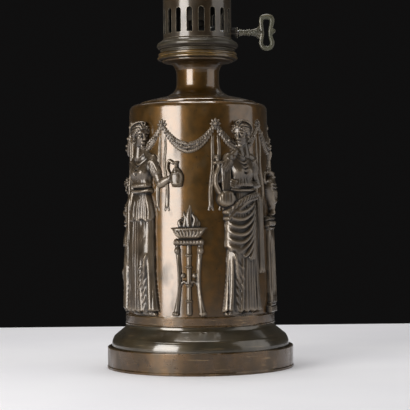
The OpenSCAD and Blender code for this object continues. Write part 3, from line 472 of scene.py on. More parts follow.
# %% [markdown]
# ## The grid
# A relief is a landscape: for each place across and up it has one height. A displaced plane in
# Blender's own modifiers would do the same, but a plain array of numbers lets each form be
# joined to what lies under it with a fillet, as wax is.

# %% A casting as a grid of heights
GRID_ACROSS = 0.38
GRID_UP = 0.6
GRID_FINE = 0.38
# Height of the bare grid, deep inside the wall
EMPTY = -6.0


class WaxGrid:
    """Wax over the body. Places are millimetres across and up from the casting's own foot point,
    for a figure of full size that faces +x; turn -1 mirrors it and scale makes it smaller."""

    def __init__(self, angle, left, right, top, low=0.25, scale=1.0, turn=1, fine=0.0):
        self.angle, self.scale, self.turn = angle, scale, turn
        self.across = np.arange(left, right, GRID_ACROSS)
        self.up = np.concatenate([np.arange(low, fine, GRID_UP),
                                  np.arange(max(fine, low), top, GRID_FINE)])
        self.x, self.y = turn * self.across / scale, self.up / scale
        self.h = np.full((len(self.x), len(self.y)), EMPTY)
        self.head = None

    def window(self, low, high):
        """The part of the grid between two corners, with its places."""
        i = np.nonzero((self.x > low[0]) & (self.x < high[0]))[0]
        j = np.nonzero((self.y > low[1]) & (self.y < high[1]))[0]
        if not len(i) or not len(j):
            return None
        part = np.s_[i[0]:i[-1] + 1, j[0]:j[-1] + 1]
        return part, self.x[part[0]][:, None], self.y[part[1]][None, :]

    def join(self, part, h, soft):
        """Adds wax of height h, with a fillet of about soft millimetres."""
        old = self.h[part]
        if soft <= 0:
            self.h[part] = np.maximum(old, h)
            return
        t = np.clip(0.5 + 0.5 * (h - old) / soft, 0, 1)
        self.h[part] = old * (1 - t) + h * t + soft * t * (1 - t)

    def along(self, points, reach):
        """Distance to a smooth line, and the line's other values at the nearest place."""
        p = smooth_line(points)
        found = self.window(p[:, :2].min(0) - reach, p[:, :2].max(0) + reach)
        if found is None:
            return None
        part, x, y = found
        best = np.full(np.broadcast(x, y).shape, np.inf)
        carried = np.zeros(best.shape + (p.shape[1] - 2,))
        share = np.zeros(best.shape)
        for k, (a, b) in enumerate(zip(p, p[1:])):
            gap, t = to_segment(x, y, a, b)
            near = gap < best
            best = np.where(near, gap, best)
            carried = np.where(near[..., None], a[2:] + t[..., None] * (b - a)[2:], carried)
            share = np.where(near, (k + t) / (len(p) - 1), share)
        return part, best, carried, share


# %% [markdown]
# ## The tools
# A modeller in wax rolls stems, presses on pellets, cuts out flat forms, lays cloth and scores
# lines. Each is a method here. A mesh for each form, joined with booleans, is slower, and fragile
# where folds only graze each other.

# %% Stems, pellets, cut-out forms, cloth and scored lines
# Fall of the wax beside a form, for each millimetre away from it
STEEP = 3.5


class Casting(WaxGrid):
    """A casting in wax, with the tools that build it up."""

    def limb(self, *points, soft=0.7, flat=0.85):
        """A round stem through points (x, y, radius, height of its middle)."""
        points = np.array(points, float)
        part, gap, carried, _ = self.along(points, points[:, 2].max() + 3)
        r, mid = carried[..., 0], carried[..., 1]
        h = np.where(gap < r, mid + flat * np.sqrt(np.clip(r * r - gap * gap, 0, None)),
                     mid - STEEP * (gap - r))
        self.join(part, h, soft)

    def swell(self, x0, y0, rx, ry, height, low=0.0, tilt=0.0, soft=0.6):
        """An egg-shaped mass, tilted by degrees, of the given height over low."""
        reach = max(rx, ry) + 2
        found = self.window((x0 - reach, y0 - reach), (x0 + reach, y0 + reach))
        if found is None:
            return
        part, x, y = found
        c, s = math.cos(math.radians(tilt)), math.sin(math.radians(tilt))
        a, b = (x - x0) * c + (y - y0) * s, (y - y0) * c - (x - x0) * s
        q = np.sqrt((a / rx) ** 2 + (b / ry) ** 2)
        h = np.where(q < 1, low + height * np.sqrt(np.clip(1 - q * q, 0, None)),
                     low - STEEP * (q - 1) * min(rx, ry))
        self.join(part, h, soft)

    def form(self, outline, height, edge, low=0.0, soft=0.4, smooth=True, crown=0.0):
        """A cut-out form with a round edge of the given width, fuller by crown in its middle."""
        p = smooth_line(list(outline) + [outline[0]], 4)[:-1] if smooth else np.array(outline, float)
        part, x, y = self.window(p.min(0) - 2, p.max(0) + 2)
        inside = np.zeros(np.broadcast(x, y).shape, bool)
        gap = np.full(inside.shape, np.inf)
        for a, b in zip(p, np.roll(p, -1, 0)):
            gap = np.minimum(gap, to_segment(x, y, a, b)[0])
            if a[1] != b[1]:
                crossing = a[0] + (y - a[1]) * (b[0] - a[0]) / (b[1] - a[1])
                inside ^= ((a[1] > y) != (b[1] > y)) & (x < crossing)
        full = gap[inside].max() if inside.any() else 1
        h = np.where(inside, low + height * rounded(gap / edge) + crown * rounded(gap / full),
                     low - STEEP * gap)
        self.join(part, h, soft)

    def cloth(self, rows, folds, depth, soft=0.5, power=2.6, hem=None, taut=(), end_fade=8, masses=()):
        """A garment between left and right edges given by rows of (y, left, right, height),
        with folds laid on it; folds fade near the points in taut, given as (x, y, radius), and over
        one part in end_fade of their length at their lower end. Masses (x, y, radius, height)
        swell under it."""
        rows = smooth_line(rows)
        rows = rows[np.argsort(rows[:, 0])]
        low, high = rows[0, 0], rows[-1, 0]
        part, x, y = self.window((rows[:, 1].min() - 3, low - 3), (rows[:, 2].max() + 3, high + 3))
        left, right, full = (np.interp(y, rows[:, 0], rows[:, k]) for k in (1, 2, 3))
        s = np.abs((x - (left + right) / 2) / ((right - left) / 2))
        base = full * np.clip(1 - s ** power, 0, 1) ** (1 / power)
        for cx, cy, r, swell in masses:
            base = base + swell * bell(x, y, cx, cy, r) * np.clip((1 - s) * 4, 0, 1)
        away = np.clip(s - 1, 0, None) * (right - left) / 2
        bottom = low + (hem(x) if hem else 0)
        out = np.maximum(np.clip(bottom - y, 0, None), np.clip(y - high, 0, None))
        relief = np.zeros(self.h.shape)
        for points in folds:
            found = self.along(points, max(q[2] for q in points) + 0.5)
            if found is None:
                continue
            where, gap, carried, share = found
            width, size = carried[..., 0], carried[..., 1]
            bump = size * np.sqrt(np.clip(1 - (gap / np.maximum(width, 0.1)) ** 2, 0, None))
            bump *= np.clip(8 * share, 0, 1) ** 0.5 * np.clip(end_fade * (1 - share), 0, 1) ** 0.5
            relief[where] = np.maximum(relief[where], bump)
        calm = np.ones(base.shape)
        for cx, cy, r in taut:
            calm *= 1 - bell(x, y, cx, cy, r)
        folded = relief[part] * calm - 0.55 * calm
        h = base + depth * folded * np.clip((1 - s) * 6, 0, 1) - STEEP * np.maximum(away, out)
        self.join(part, h, soft)

    def groove(self, points, width, depth):
        """A carved line."""
        part, gap, _, share = self.along([(x, y, 0) for x, y in points], width + 0.5)
        ends = np.clip(6 * share, 0, 1) * np.clip(6 * (1 - share), 0, 1)
        self.h[part] -= depth * np.clip(1 - (gap / width) ** 2, 0, 1) * ends

    def ridge(self, points, width, height):
        """A raised line on what is there, such as a lock of hair or a finger."""
        part, gap, _, share = self.along([(x, y, 0) for x, y in points], width + 0.5)
        ends = np.clip(5 * share, 0, 1) * np.clip(5 * (1 - share), 0, 1)
        rise = height * np.sqrt(np.clip(1 - (gap / width) ** 2, 0, 1)) * ends
        self.h[part] += np.where(self.h[part] > 0, rise, 0)


# %% [markdown]
# ## Hands and arms
# At this scale a hand is ten millimetres long and read by its fingers. A palm, four short stems
# and a thumb are enough, and one block with grooves would look like a mitten.

# %% Hands and arms
def hand(wax, wrist, tip, mid, curl=0.0, spread=1.0):
    """A hand from the wrist to its fingertips, with four fingers and a thumb."""
    w, t = np.array(wrist, float), np.array(tip, float)
    d = (t - w) / np.linalg.norm(t - w)
    n = np.array((-d[1], d[0]))
    length = np.linalg.norm(t - w)
    palm = w + d * length * 0.36
    wax.limb((*w, 2.1, mid), (*palm, 2.9, mid + 0.3), soft=0.6)
    for k in range(4):
        off = (k - 1.5) * 1.45 * spread
        root = palm + n * off * 0.8 + d * 0.6
        joint = root + d * length * 0.3 + n * (off * 0.25 + curl)
        end = joint + d * length * (0.24 - 0.03 * abs(k - 1.5)) + n * curl * 2.2
        wax.limb((*root, 1.0, mid + 1.6), (*joint, 0.9, mid + 1.7), (*end, 0.75, mid + 0.9), soft=0.15)
    thumb = palm + n * 2.6 * spread
    wax.limb((*(w + n * 1.2), 1.2, mid + 0.8), (*thumb, 1.1, mid + 1.5),
             (*(thumb + d * 3.4 + n * 0.6), 0.85, mid + 1.3), soft=0.3)


def arm(wax, shoulder, elbow, wrist, tip, mid, curl=0.0):
    """A sleeved arm and its hand; mid gives the heights of shoulder, elbow and wrist."""
    wax.limb((*shoulder, 4.2, mid[0]), (*[(a + b) / 2 for a, b in zip(shoulder, elbow)], 3.9, mid[0] + 0.6),
             (*elbow, 3.3, mid[1]), soft=1.2)
    wax.limb((*elbow, 3.2, mid[1]), (*[a * 0.65 + b * 0.35 for a, b in zip(elbow, wrist)], 3.4, mid[1] + 0.2),
             (*wrist, 2.1, mid[2]), soft=0.8)
    s, e = np.array(shoulder, float), np.array(elbow, float)
    d = (e - s) / np.linalg.norm(e - s)
    n = np.array((-d[1], d[0]))
    cuff = s + d * np.linalg.norm(e - s) * 0.5
    wax.limb((*s, 4.8, mid[0] + 0.6), (*cuff, 4.9, mid[0] + 0.5), soft=0.4)
    for k in range(5):
        off = (k - 2) * 1.7
        wax.ridge([s + n * off * 0.4, s + d * 3 + n * off * 0.8, cuff + d * 1.6 + n * off * 1.05], 0.8, 0.9)
    hand(wax, wrist, tip, mid[2], curl)


# %% [markdown]
# ## The dressed body
# The figures are plain classical types on textbook proportions: a belted robe with an overfold,
# one knee forward. Cloth tells more than the body under it, so the body is only a few swellings
# and the folds are laid one by one: straight where cloth hangs, fanned where a knee pulls it. A
# cloth simulation would give softer, less legible folds than a caster's model has.

# %% Pleats
def pleats(xs_top, xs_foot, top, foot, width, size, wander, seed):
    """Hanging folds from a row of places at the top to another at the foot."""
    rng = np.random.default_rng(seed)
    out = []
    for a, b in zip(xs_top, xs_foot):
        w = width * rng.uniform(0.8, 1.25)
        bend = rng.uniform(-wander, wander)
        out.append([(a, top, w * 0.7, size * 0.7),
                    ((2 * a + b) / 3 + bend, top * 0.68 + foot * 0.32, w, size),
                    ((a + 2 * b) / 3 - bend * 0.6, top * 0.3 + foot * 0.7, w, size),
                    (b, foot, w * 1.25, size * 1.1)])
    return out


# %% The dressed body
def robed(wax, seed, turned=45, nod=6):
    """The dressed body: skirt, forward leg, feet, overfold, belt, bodice, neck and head."""
    rng = np.random.default_rng(seed)
    # Feet first, so that the hem falls over them
    wax.limb((-6.5, 3.0, 2.4, 1.4), (-0.5, 2.2, 2.3, 2.2), (3.2, 1.7, 1.5, 1.8), soft=0.5)
    wax.limb((5.0, 3.4, 2.6, 2.0), (11.0, 2.4, 2.3, 2.6), (14.6, 1.8, 1.5, 2.2), soft=0.5)
    for x in (1.6, 12.8):
        wax.groove([(x, 3.6), (x + 1.4, 1.4)], 0.4, 0.6)
    # Skirt: straight pleats over the standing leg, taut cloth over the bent one
    tops = np.linspace(-12.5, 2.5, 8) + rng.uniform(-0.4, 0.4, 8)
    feet = np.linspace(-16.0, 4.0, 8) + rng.uniform(-0.6, 0.6, 8)
    folds = pleats(tops, feet, 84, 3, 1.75, 1.9, 0.7, seed)
    folds += pleats((9.5, 12.0), (12.5, 16.2), 84, 4, 1.6, 1.7, 0.5, seed + 1)
    for k in range(6):
        y = 40 - 6.2 * k
        folds.append([(8.8 - 0.3 * k, y + 2, 1.1, 0.6), (5.6, y - 5, 1.4, 1.3),
                      (1.5 - k * 0.8, y - 14, 1.5, 1.5), (-1.0 - k, max(y - 26, 3), 1.2, 1.0)])
    for k in range(3):
        folds.append([(10.5, 66 - 9 * k, 1.1, 0.5), (4.5, 60 - 9 * k, 1.2, 0.9), (0.5, 62 - 9 * k, 1.0, 0.6)])
    wax.cloth([(4, -17.5, 18.0, 5.6), (14, -16.0, 16.4, 6.0), (30, -14.4, 14.6, 6.4), (46, -13.8, 14.0, 7.2),
               (64, -13.6, 13.6, 7.2), (80, -12.6, 12.8, 7.0), (92, -9.5, 9.5, 6.0)], folds, 1.0,
              hem=lambda x: 0.8 * np.sin(x * 1.1 + seed) + 0.5 * np.sin(x * 2.3), power=3.0,
              taut=((6.5, 52, 8.5), (6.0, 66, 6.5)), end_fade=60)
    wax.limb((4.5, 76, 6.6, 0.6), (6.2, 60, 6.4, 1.9), (7.0, 46, 5.4, 2.8), (5.4, 30, 4.2, 1.9),
             (4.4, 14, 3.4, 0.8), soft=2.2)
    wax.swell(7.2, 46.5, 3.6, 4.0, 1.1, 6.9, soft=1.0)
    for k in range(3):
        wax.ridge([(11.0 - k, 50 - 2 * k), (7.0, 40 - 5 * k), (2.0, 36 - 8 * k)], 0.9, 0.7)
    # Overfold with its wavy hem
    over = []
    for k, x in enumerate(np.linspace(-10.5, 11.0, 12)):
        lean = x * 0.42
        over.append([(x - lean, 97, 0.8, 0.7), (x - lean * 0.5, 90, 1.0, 1.2),
                     (x + rng.uniform(-0.5, 0.5), 82, 1.2, 1.5), (x * 1.06, 73, 1.35, 1.7)])
    wax.cloth([(74, -13.6, 13.8, 8.3), (80, -13.2, 13.4, 8.4), (88, -11.2, 11.4, 7.8),
               (95, -9.2, 9.2, 7.0), (99, -8.6, 8.6, 6.6)], over, 0.95,
              hem=lambda x: 1.5 * np.sin(x * 0.85 + seed) + 0.7 * np.sin(x * 1.9), soft=0.25,
              end_fade=60)
    # Bodice: cloth that falls from the shoulders over the breast and is bloused over the belt
    gathers = []
    for side in (-1, 1):
        for k in range(6):
            gathers.append([(side * (10.6 - 1.0 * k), 123.0 - 0.5 * k, 0.9, 0.9),
                            (side * (9.6 - 1.55 * k), 113.5 - 1.0 * k, 1.05, 1.2),
                            (side * (7.6 - 1.45 * k) + rng.uniform(-0.3, 0.3), 105.5, 1.1, 1.2),
                            (side * (9.4 - 1.7 * k), 98.6, 1.15, 1.5)])
    for k in range(4):
        y = 117.6 - 3.1 * k
        gathers.append([(-6.4 + 1.1 * k, y + 4.0, 0.8, 0.6), (-2.8 + 0.3 * k, y + 0.6, 0.95, 1.1),
                        (0, y - 0.7, 1.0, 1.2), (2.8 - 0.3 * k, y + 0.6, 0.95, 1.1),
                        (6.4 - 1.1 * k, y + 4.0, 0.8, 0.6)])
    wax.cloth([(97.8, -9.6, 9.6, 6.6), (100.4, -10.9, 10.8, 8.6), (104, -10.8, 10.6, 7.6),
               (112, -12.0, 11.6, 7.4), (119, -12.2, 11.6, 6.2), (124.5, -8.2, 7.8, 4.6)],
              gathers, 0.95, soft=0.6, power=2.4, end_fade=60,
              masses=((-4.6, 110.8, 4.4, 2.6), (4.6, 110.8, 4.4, 2.8)))
    wax.groove([(-9.6, 98.0), (0, 97.2), (9.6, 98.0)], 0.9, 1.4)
    wax.limb((-9.8, 96.8, 1.0, 6.2), (-5, 96.2, 1.0, 7.9), (0, 96.0, 1.0, 8.3), (5, 96.2, 1.0, 8.0),
             (9.8, 96.8, 1.0, 6.4), soft=0.2)
    # Foot of the neck; the head is made apart
    wax.limb((0, 128.0, 3.6, 1.4), (0, 122.5, 5.2, 2.0), soft=1.4)
    for side in (-1, 1):
        wax.limb((side * 2.2, 127.5, 2.6, 1.8), (side * 5.6, 124.0, 2.8, 2.4),
                 (side * 10.0, 121.4, 3.0, 2.4), soft=1.2)
    wax.head = (turned, nod)
    wax.groove([(-4.6, 125.0), (0.0, 121.6), (4.6, 125.0)], 0.6, 0.8)


# %% [markdown]
# ## Mantles
# A second cloth tells the figures apart: one end hangs over a forearm, and on some another is
# wound round the hips with a rolled upper edge. Its folds fan out from the hip that holds them.

# %% Mantles
def wrap(wax, seed):
    """A mantle wound round the hips: a rolled upper edge and folds that fan out from one hip."""
    rng = np.random.default_rng(seed)
    folds = []
    for k in range(10):
        drop = 6.0 * k
        folds.append([(-12.0, 91.0 - 1.6 * k, 0.9, 0.7), (-6.5, 85.0 - 0.72 * drop, 1.3, 1.5),
                      (1.5 + rng.uniform(-0.8, 0.8), 80.0 - 0.94 * drop, 1.6, 1.8),
                      (9.0, 80.5 - 0.98 * drop, 1.4, 1.3), (14.0, 84.0 - drop, 1.0, 0.8)])
    wax.cloth([(34, -15.4, 15.6, 8.0), (46, -15.0, 15.4, 8.8), (64, -14.6, 15.0, 9.2), (78, -13.8, 14.2, 9.2),
               (88, -12.4, 11.0, 8.6), (93, -11.2, 8.0, 7.6)], folds, 1.0, soft=0.3, power=2.8,
              hem=lambda x: 11.0 + 0.5 * x + 0.9 * np.sin(x * 1.3 + seed), taut=((7.0, 50, 5.5),))
    # The rolled edge and a second roll under it
    for lift, size in ((0.0, 2.1), (-2.7, 1.7)):
        wax.limb((-12.2, 93 + lift, size, 6.0), (-4.0, 91.2 + lift, size, 8.0),
                 (5.0, 86.5 + lift * 1.4, size, 8.2), (13.0, 79.5 + lift * 1.8, size * 0.9, 6.2),
                 soft=0.4)
    for k in range(9):
        x = -11.0 + 2.8 * k
        y = 93.0 - 0.02 * (x + 12) ** 2
        wax.groove([(x - 0.8, y + 1.6), (x + 1.6, y - 3.6)], 0.45, 0.7)


def mantle(wax, x, top, foot, seed):
    """A mantle's end that falls from a forearm, with a zigzag hem."""
    rng = np.random.default_rng(seed)
    folds = pleats(np.linspace(x - 3.2, x + 3.2, 5), np.linspace(x - 5.2, x + 4.6, 5), top, foot - 2,
                   1.15, 1.5, 0.5, seed)
    wax.cloth([(foot, x - 6.0, x + 5.0, 4.2), ((top + foot) / 2, x - 5.0, x + 4.8, 4.8),
               (top - 3, x - 4.6, x + 4.6, 5.4), (top + 2, x - 3.0, x + 3.4, 5.0)], folds, 1.0,
              hem=lambda place: 2.6 * np.abs(((place - x) * 0.28 + rng.uniform(0, 1)) % 1 * 2 - 1),
              soft=0.2, end_fade=60)


# %% [markdown]
# ## Heads
# Heads stand almost free of the wall, so a single height can't describe them. Each is built as a
# sculptor would with pellets of wax: eggs for skull, jaw and cheeks, tubes for brow, nose, lips
# and locks of hair. A voxel remesh melts them into one skin and a few rounds of smoothing blend
# it. The face is a plain type: the eye at half the head's height, the nose one third of the face.

# %% Pellets of wax
def pellet():
    """Points and triangles of a ball of radius 1."""
    shape = bmesh.new()
    bmesh.ops.create_icosphere(shape, subdivisions=3, radius=1)
    points = np.array([point.co for point in shape.verts])
    triangles = np.array([[point.index for point in face.verts] for face in shape.faces])
    shape.free()
    return points, triangles


BALL, BALL_FACES = pellet()


def new_piece(name, points, faces):
    """An object in the scene with a mesh of its own; points in metres."""
    mesh = bpy.data.meshes.new(name)
    mesh.from_pydata(points, [], faces)
    piece = bpy.data.objects.new(name, mesh)
    bpy.context.scene.collection.objects.link(piece)
    return piece


class Pellets:
    """Eggs and tubes in millimetres that are melted into one skin."""

    def __init__(self):
        self.points, self.faces, self.count = [], [], 0

    def add(self, points, faces):
        self.points.append(points)
        self.faces += (np.asarray(faces) + self.count).tolist()
        self.count += len(points)

    def egg(self, middle, size):
        self.add(BALL * size + middle, BALL_FACES)

    def tube(self, *points):
        """Balls close together along a smooth line of (forward, up, side, radius)."""
        line = smooth_line(points)
        step = np.linalg.norm(np.diff(line[:, :3], axis=0), axis=1)
        travelled = np.concatenate([[0], np.cumsum(step)])
        count = max(int(travelled[-1] / (0.3 * line[:, 3].min())), 2)
        for t in np.linspace(0, travelled[-1], count):
            at = [np.interp(t, travelled, line[:, k]) for k in range(4)]
            self.egg(at[:3], (at[3],) * 3)

    def ring(self, x, radius, thick):
        """A turned disc across the x axis with a round rim."""
        steps = max(int(radius * 2 * math.pi / (0.4 * thick)), 12)
        middle = radius - thick
        for a in np.arange(steps) * 2 * math.pi / steps:
            self.egg((x, middle * math.cos(a), middle * math.sin(a)), (thick,) * 3)
        self.egg((x, 0, 0), (thick, middle, middle))

    def melted(self, voxel, rounds):
        """The outer skin of all the wax, smoothed; returns points and four-sided faces."""
        lump = new_piece("wax", np.vstack(self.points), self.faces)
        mesh = lump.data
        skin = lump.modifiers.new("skin", "REMESH")
        skin.mode, skin.voxel_size = "VOXEL", voxel
        blend = lump.modifiers.new("blend", "SMOOTH")
        blend.factor, blend.iterations = 0.5, rounds
        made = lump.evaluated_get(bpy.context.evaluated_depsgraph_get()).to_mesh()
        points = np.empty(len(made.vertices) * 3)
        made.vertices.foreach_get("co", points)
        faces = np.array([list(face.vertices) for face in made.polygons])
        bpy.data.objects.remove(lump)
        bpy.data.meshes.remove(mesh)
        return points.reshape(-1, 3), faces


def pressed(points, middle, reach, depth):
    """Wax pressed back around a place, as with a fingertip."""
    near = np.clip(1 - ((points - middle) ** 2).sum(1) / reach ** 2, 0, None) ** 2
    points[:, 0] -= depth * near


# %% A classical head
# Where the locks start on the right side, from the parting to behind the ear
HAIRLINE = [(6.4, 6.6, 0.4), (6.3, 6.0, 2.0), (5.9, 5.0, 3.6), (5.0, 3.8, 5.0), (3.8, 2.2, 6.1),
            (2.4, 0.4, 6.9), (1.0, -1.6, 7.1)]
HAIR_MIDDLE = np.array((-2.2, 3.6, 0))
HAIR_SIZE = np.array((8.9, 7.6, 7.5))


def on_hair(way, lift=0.0):
    """The point of the hair's surface that lies along a direction from its middle."""
    return HAIR_MIDDLE + way / np.linalg.norm(way / (HAIR_SIZE + lift))


def bare_head():
    """Skull, face and neck in (forward, up, side) millimetres; the chin is 10 below the middle."""
    wax = Pellets()
    wax.egg((-1.4, 3.0, 0), (8.4, 6.8, 6.7))
    wax.egg((2.1, 3.0, 0), (5.0, 5.2, 5.5))
    wax.egg((1.9, -2.4, 0), (4.7, 6.4, 4.7))
    wax.egg((1.4, -5.2, 0), (4.7, 3.9, 4.2))
    wax.egg((4.5, -8.2, 0), (1.9, 1.6, 2.2))
    wax.egg((5.1, -5.0, 0), (1.7, 2.0, 2.5))
    wax.tube((6.2, 2.9, 0, 1.0), (7.0, 0.4, 0, 0.95), (8.0, -2.1, 0, 1.15))
    wax.tube((-1.6, -4.5, 0, 4.3), (-1.9, -10, 0, 4.0), (-1.6, -17, 0, 4.9))
    for side in (-1, 1):
        wax.egg((3.2, -1.5, side * 2.7), (2.4, 1.9, 2.1))
        wax.egg((7.2, -2.6, side * 1.0), (1.0, 0.8, 0.8))
        wax.tube((6.3, 2.5, side * 0.6, 0.8), (6.1, 2.8, side * 2.3, 0.9), (4.6, 2.3, side * 4.2, 0.9))
    points, faces = wax.melted(0.4, 8)
    for side in (-1, 1):
        pressed(points, (6.2, 0.5, side * 2.4), 2.3, 1.2)
        pressed(points, (5.8, -5.2, side * 2.5), 1.1, 0.4)
    pressed(points, (6.6, -6.7, 0), 1.5, 0.5)
    return points, faces


def dressed_head():
    """The head with eyes, lips and hair parted in the middle, drawn back in waves to a knot."""
    wax = Pellets()
    wax.add(*bare_head())
    wax.egg(HAIR_MIDDLE, HAIR_SIZE - 0.3)
    for side in (-1, 1):
        wax.egg((4.7, 0.25, side * 2.4), (1.45, 1.0, 1.55))
        wax.tube((5.6, 0.1, side * 1.1, 0.26), (6.1, 0.95, side * 2.2, 0.32), (5.0, 0.3, side * 3.9, 0.26))
        wax.tube((5.6, -0.1, side * 1.2, 0.2), (5.8, -0.65, side * 2.3, 0.26), (5.0, 0.0, side * 3.7, 0.2))
        wax.tube((5.9, -5.05, side * 2.1, 0.25), (6.7, -4.65, side * 0.8, 0.46), (6.8, -4.8, 0, 0.44))
        wax.tube((5.9, -5.3, side * 1.8, 0.3), (6.5, -5.8, side * 0.7, 0.5), (6.6, -5.85, 0, 0.52))
        wax.egg((-0.4, -2.8, side * 5.9), (1.0, 1.2, 0.8))
        for k, start in enumerate(HAIRLINE):
            end = np.array((-10.6, 3.4 - 0.9 * k, 0.6 + 0.5 * k))
            lock = []
            for t in np.linspace(0, 1, 8):
                way = np.array(start) * (1 - t) + end * t - HAIR_MIDDLE
                way[1] += (1.0 - 0.12 * k) * math.sin(2.2 * math.pi * t * (1 + 0.04 * k)) * (1 - t)
                lock.append((*(on_hair(way) * (1, 1, side)), 0.85 - 0.3 * t))
            wax.tube(*lock)
        band = [np.array((0.62 - 1.05 * t, 0.86 - 1.1 * t * t, side * 0.98 * math.sin(2.0 * t)))
                for t in np.linspace(0, 1, 7)]
        wax.tube(*[(*on_hair(way, 0.6), 0.6) for way in band])
    wax.egg((-11.0, -0.2, 0), (2.7, 3.3, 3.5))
    for k in range(4):
        a = math.radians(45 * k)
        wax.tube(*[(-11.0 - 3.0 * math.sin(t), -0.2 + 3.4 * math.cos(t) * math.cos(a),
                    3.6 * math.cos(t) * math.sin(a), 0.65) for t in np.linspace(0.1, 3.0, 7)])
    return wax.melted(0.3, 2)


head_points, head_faces = dressed_head()
print("head: %d faces" % len(head_faces))

# %% Setting a head on its casting
# Height over the casting's foot of a full-sized head's middle, and how far it stands from the wall
HEAD_UP = 139.4
HEAD_OUT = 4.4


def raised_and_hollow(points, faces, rounds=10, full=0.16):
    """How far each point stands over its surroundings, and how far under, from 0 to 1."""
    a, b = faces.ravel(), np.roll(faces, -1, 1).ravel()
    number = np.bincount(a, minlength=len(points)) + np.bincount(b, minlength=len(points))
    even = points.copy()
    for _ in range(rounds):
        total = np.zeros(points.shape)
        np.add.at(total, a, even[b])
        np.add.at(total, b, even[a])
        even = total / number[:, None]
    corners = points[faces]
    across = np.cross(corners[:, 2] - corners[:, 0], corners[:, 3] - corners[:, 1])
    normal = np.zeros(points.shape)
    for k in range(4):
        np.add.at(normal, faces[:, k], across)
    normal /= np.linalg.norm(normal, axis=1)[:, None]
    over = ((points - even) * normal).sum(1) / full
    return np.clip(over - 0.15, 0, 1), np.clip(-over - 0.15, 0, 1)


head_ridge, head_hollow = raised_and_hollow(head_points, head_faces)


def head_on(wax):
    """The head's points as (across, up, out) in millimetres over the wall, and its faces."""
    turned, nod = (math.radians(degrees) for degrees in wax.head)
    c, s, cn, sn = math.cos(turned), math.sin(turned), math.cos(nod), math.sin(nod)
    turn = np.array(((s, 0, c), (0, 1, 0), (c, 0, -s))) @ np.array(((cn, sn, 0), (-sn, cn, 0), (0, 0, 1)))
    points = (head_points @ turn.T + (0, HEAD_UP, HEAD_OUT)) * wax.scale
    if wax.turn > 0:
        return points, head_faces
    return points * (-1, 1, 1), head_faces[:, ::-1]


# %% [markdown]
# ## From wax to bronze
# The grid becomes a closed mesh on the body's wall: the modelled front, a back just under the
# wall's surface, and sides between them. The head joins it as a closed shape of its own. Two
# numbers are stored at each point for the finish: how far it stands above its surroundings, and
# how far below. They could be worked out in the shader each time, but the mesh knows them already.

# %% What shows, what is buried, and what is rubbed
# Heights over the wall: cells show above the first; the front's edge, the back and what a head
# has in the wall lie at the others
SHOWS = -0.45
BURIED = -0.6
BACK = -1.1
SUNK = -0.8
# Reach over which a point is compared with its surroundings, and how far it has to stand over or
# under them to be rubbed pale or to hold dust
SURROUNDINGS = 2.6
RUBBED = 0.9167
DUSTY = 1.0


def blurred(grid, reach, step_across, step_up):
    """The grid averaged over about reach millimetres, by three passes of a box each way."""
    for axis, step in ((0, step_across), (1, step_up)):
        n = max(int(reach / step / 2), 1)
        for _ in range(3):
            pad = [(n + 1, n) if k == axis else (0, 0) for k in (0, 1)]
            total = np.cumsum(np.pad(grid, pad, mode="edge"), axis=axis)
            size = grid.shape[axis]
            upper = np.take(total, np.arange(2 * n + 1, 2 * n + 1 + size), axis=axis)
            lower = np.take(total, np.arange(0, size), axis=axis)
            grid = (upper - lower) / (2 * n + 1)
    return grid


def on_wall(placed, degrees):
    """Points that stand on the wall's tangent plane at an angle; what would lie deep in the wall
    is brought up to just under its surface."""
    a = math.radians(degrees)
    reach = wall_radius(HEAD_UP) + placed[:, 2]
    x = reach * math.sin(a) + placed[:, 0] * math.cos(a)
    y = -reach * math.cos(a) + placed[:, 0] * math.sin(a)
    out = np.hypot(x, y)
    least = np.maximum(out, wall_radius(placed[:, 1]) + SUNK)
    return np.stack([x * least / out, y * least / out, wall_foot + placed[:, 1]], 1)


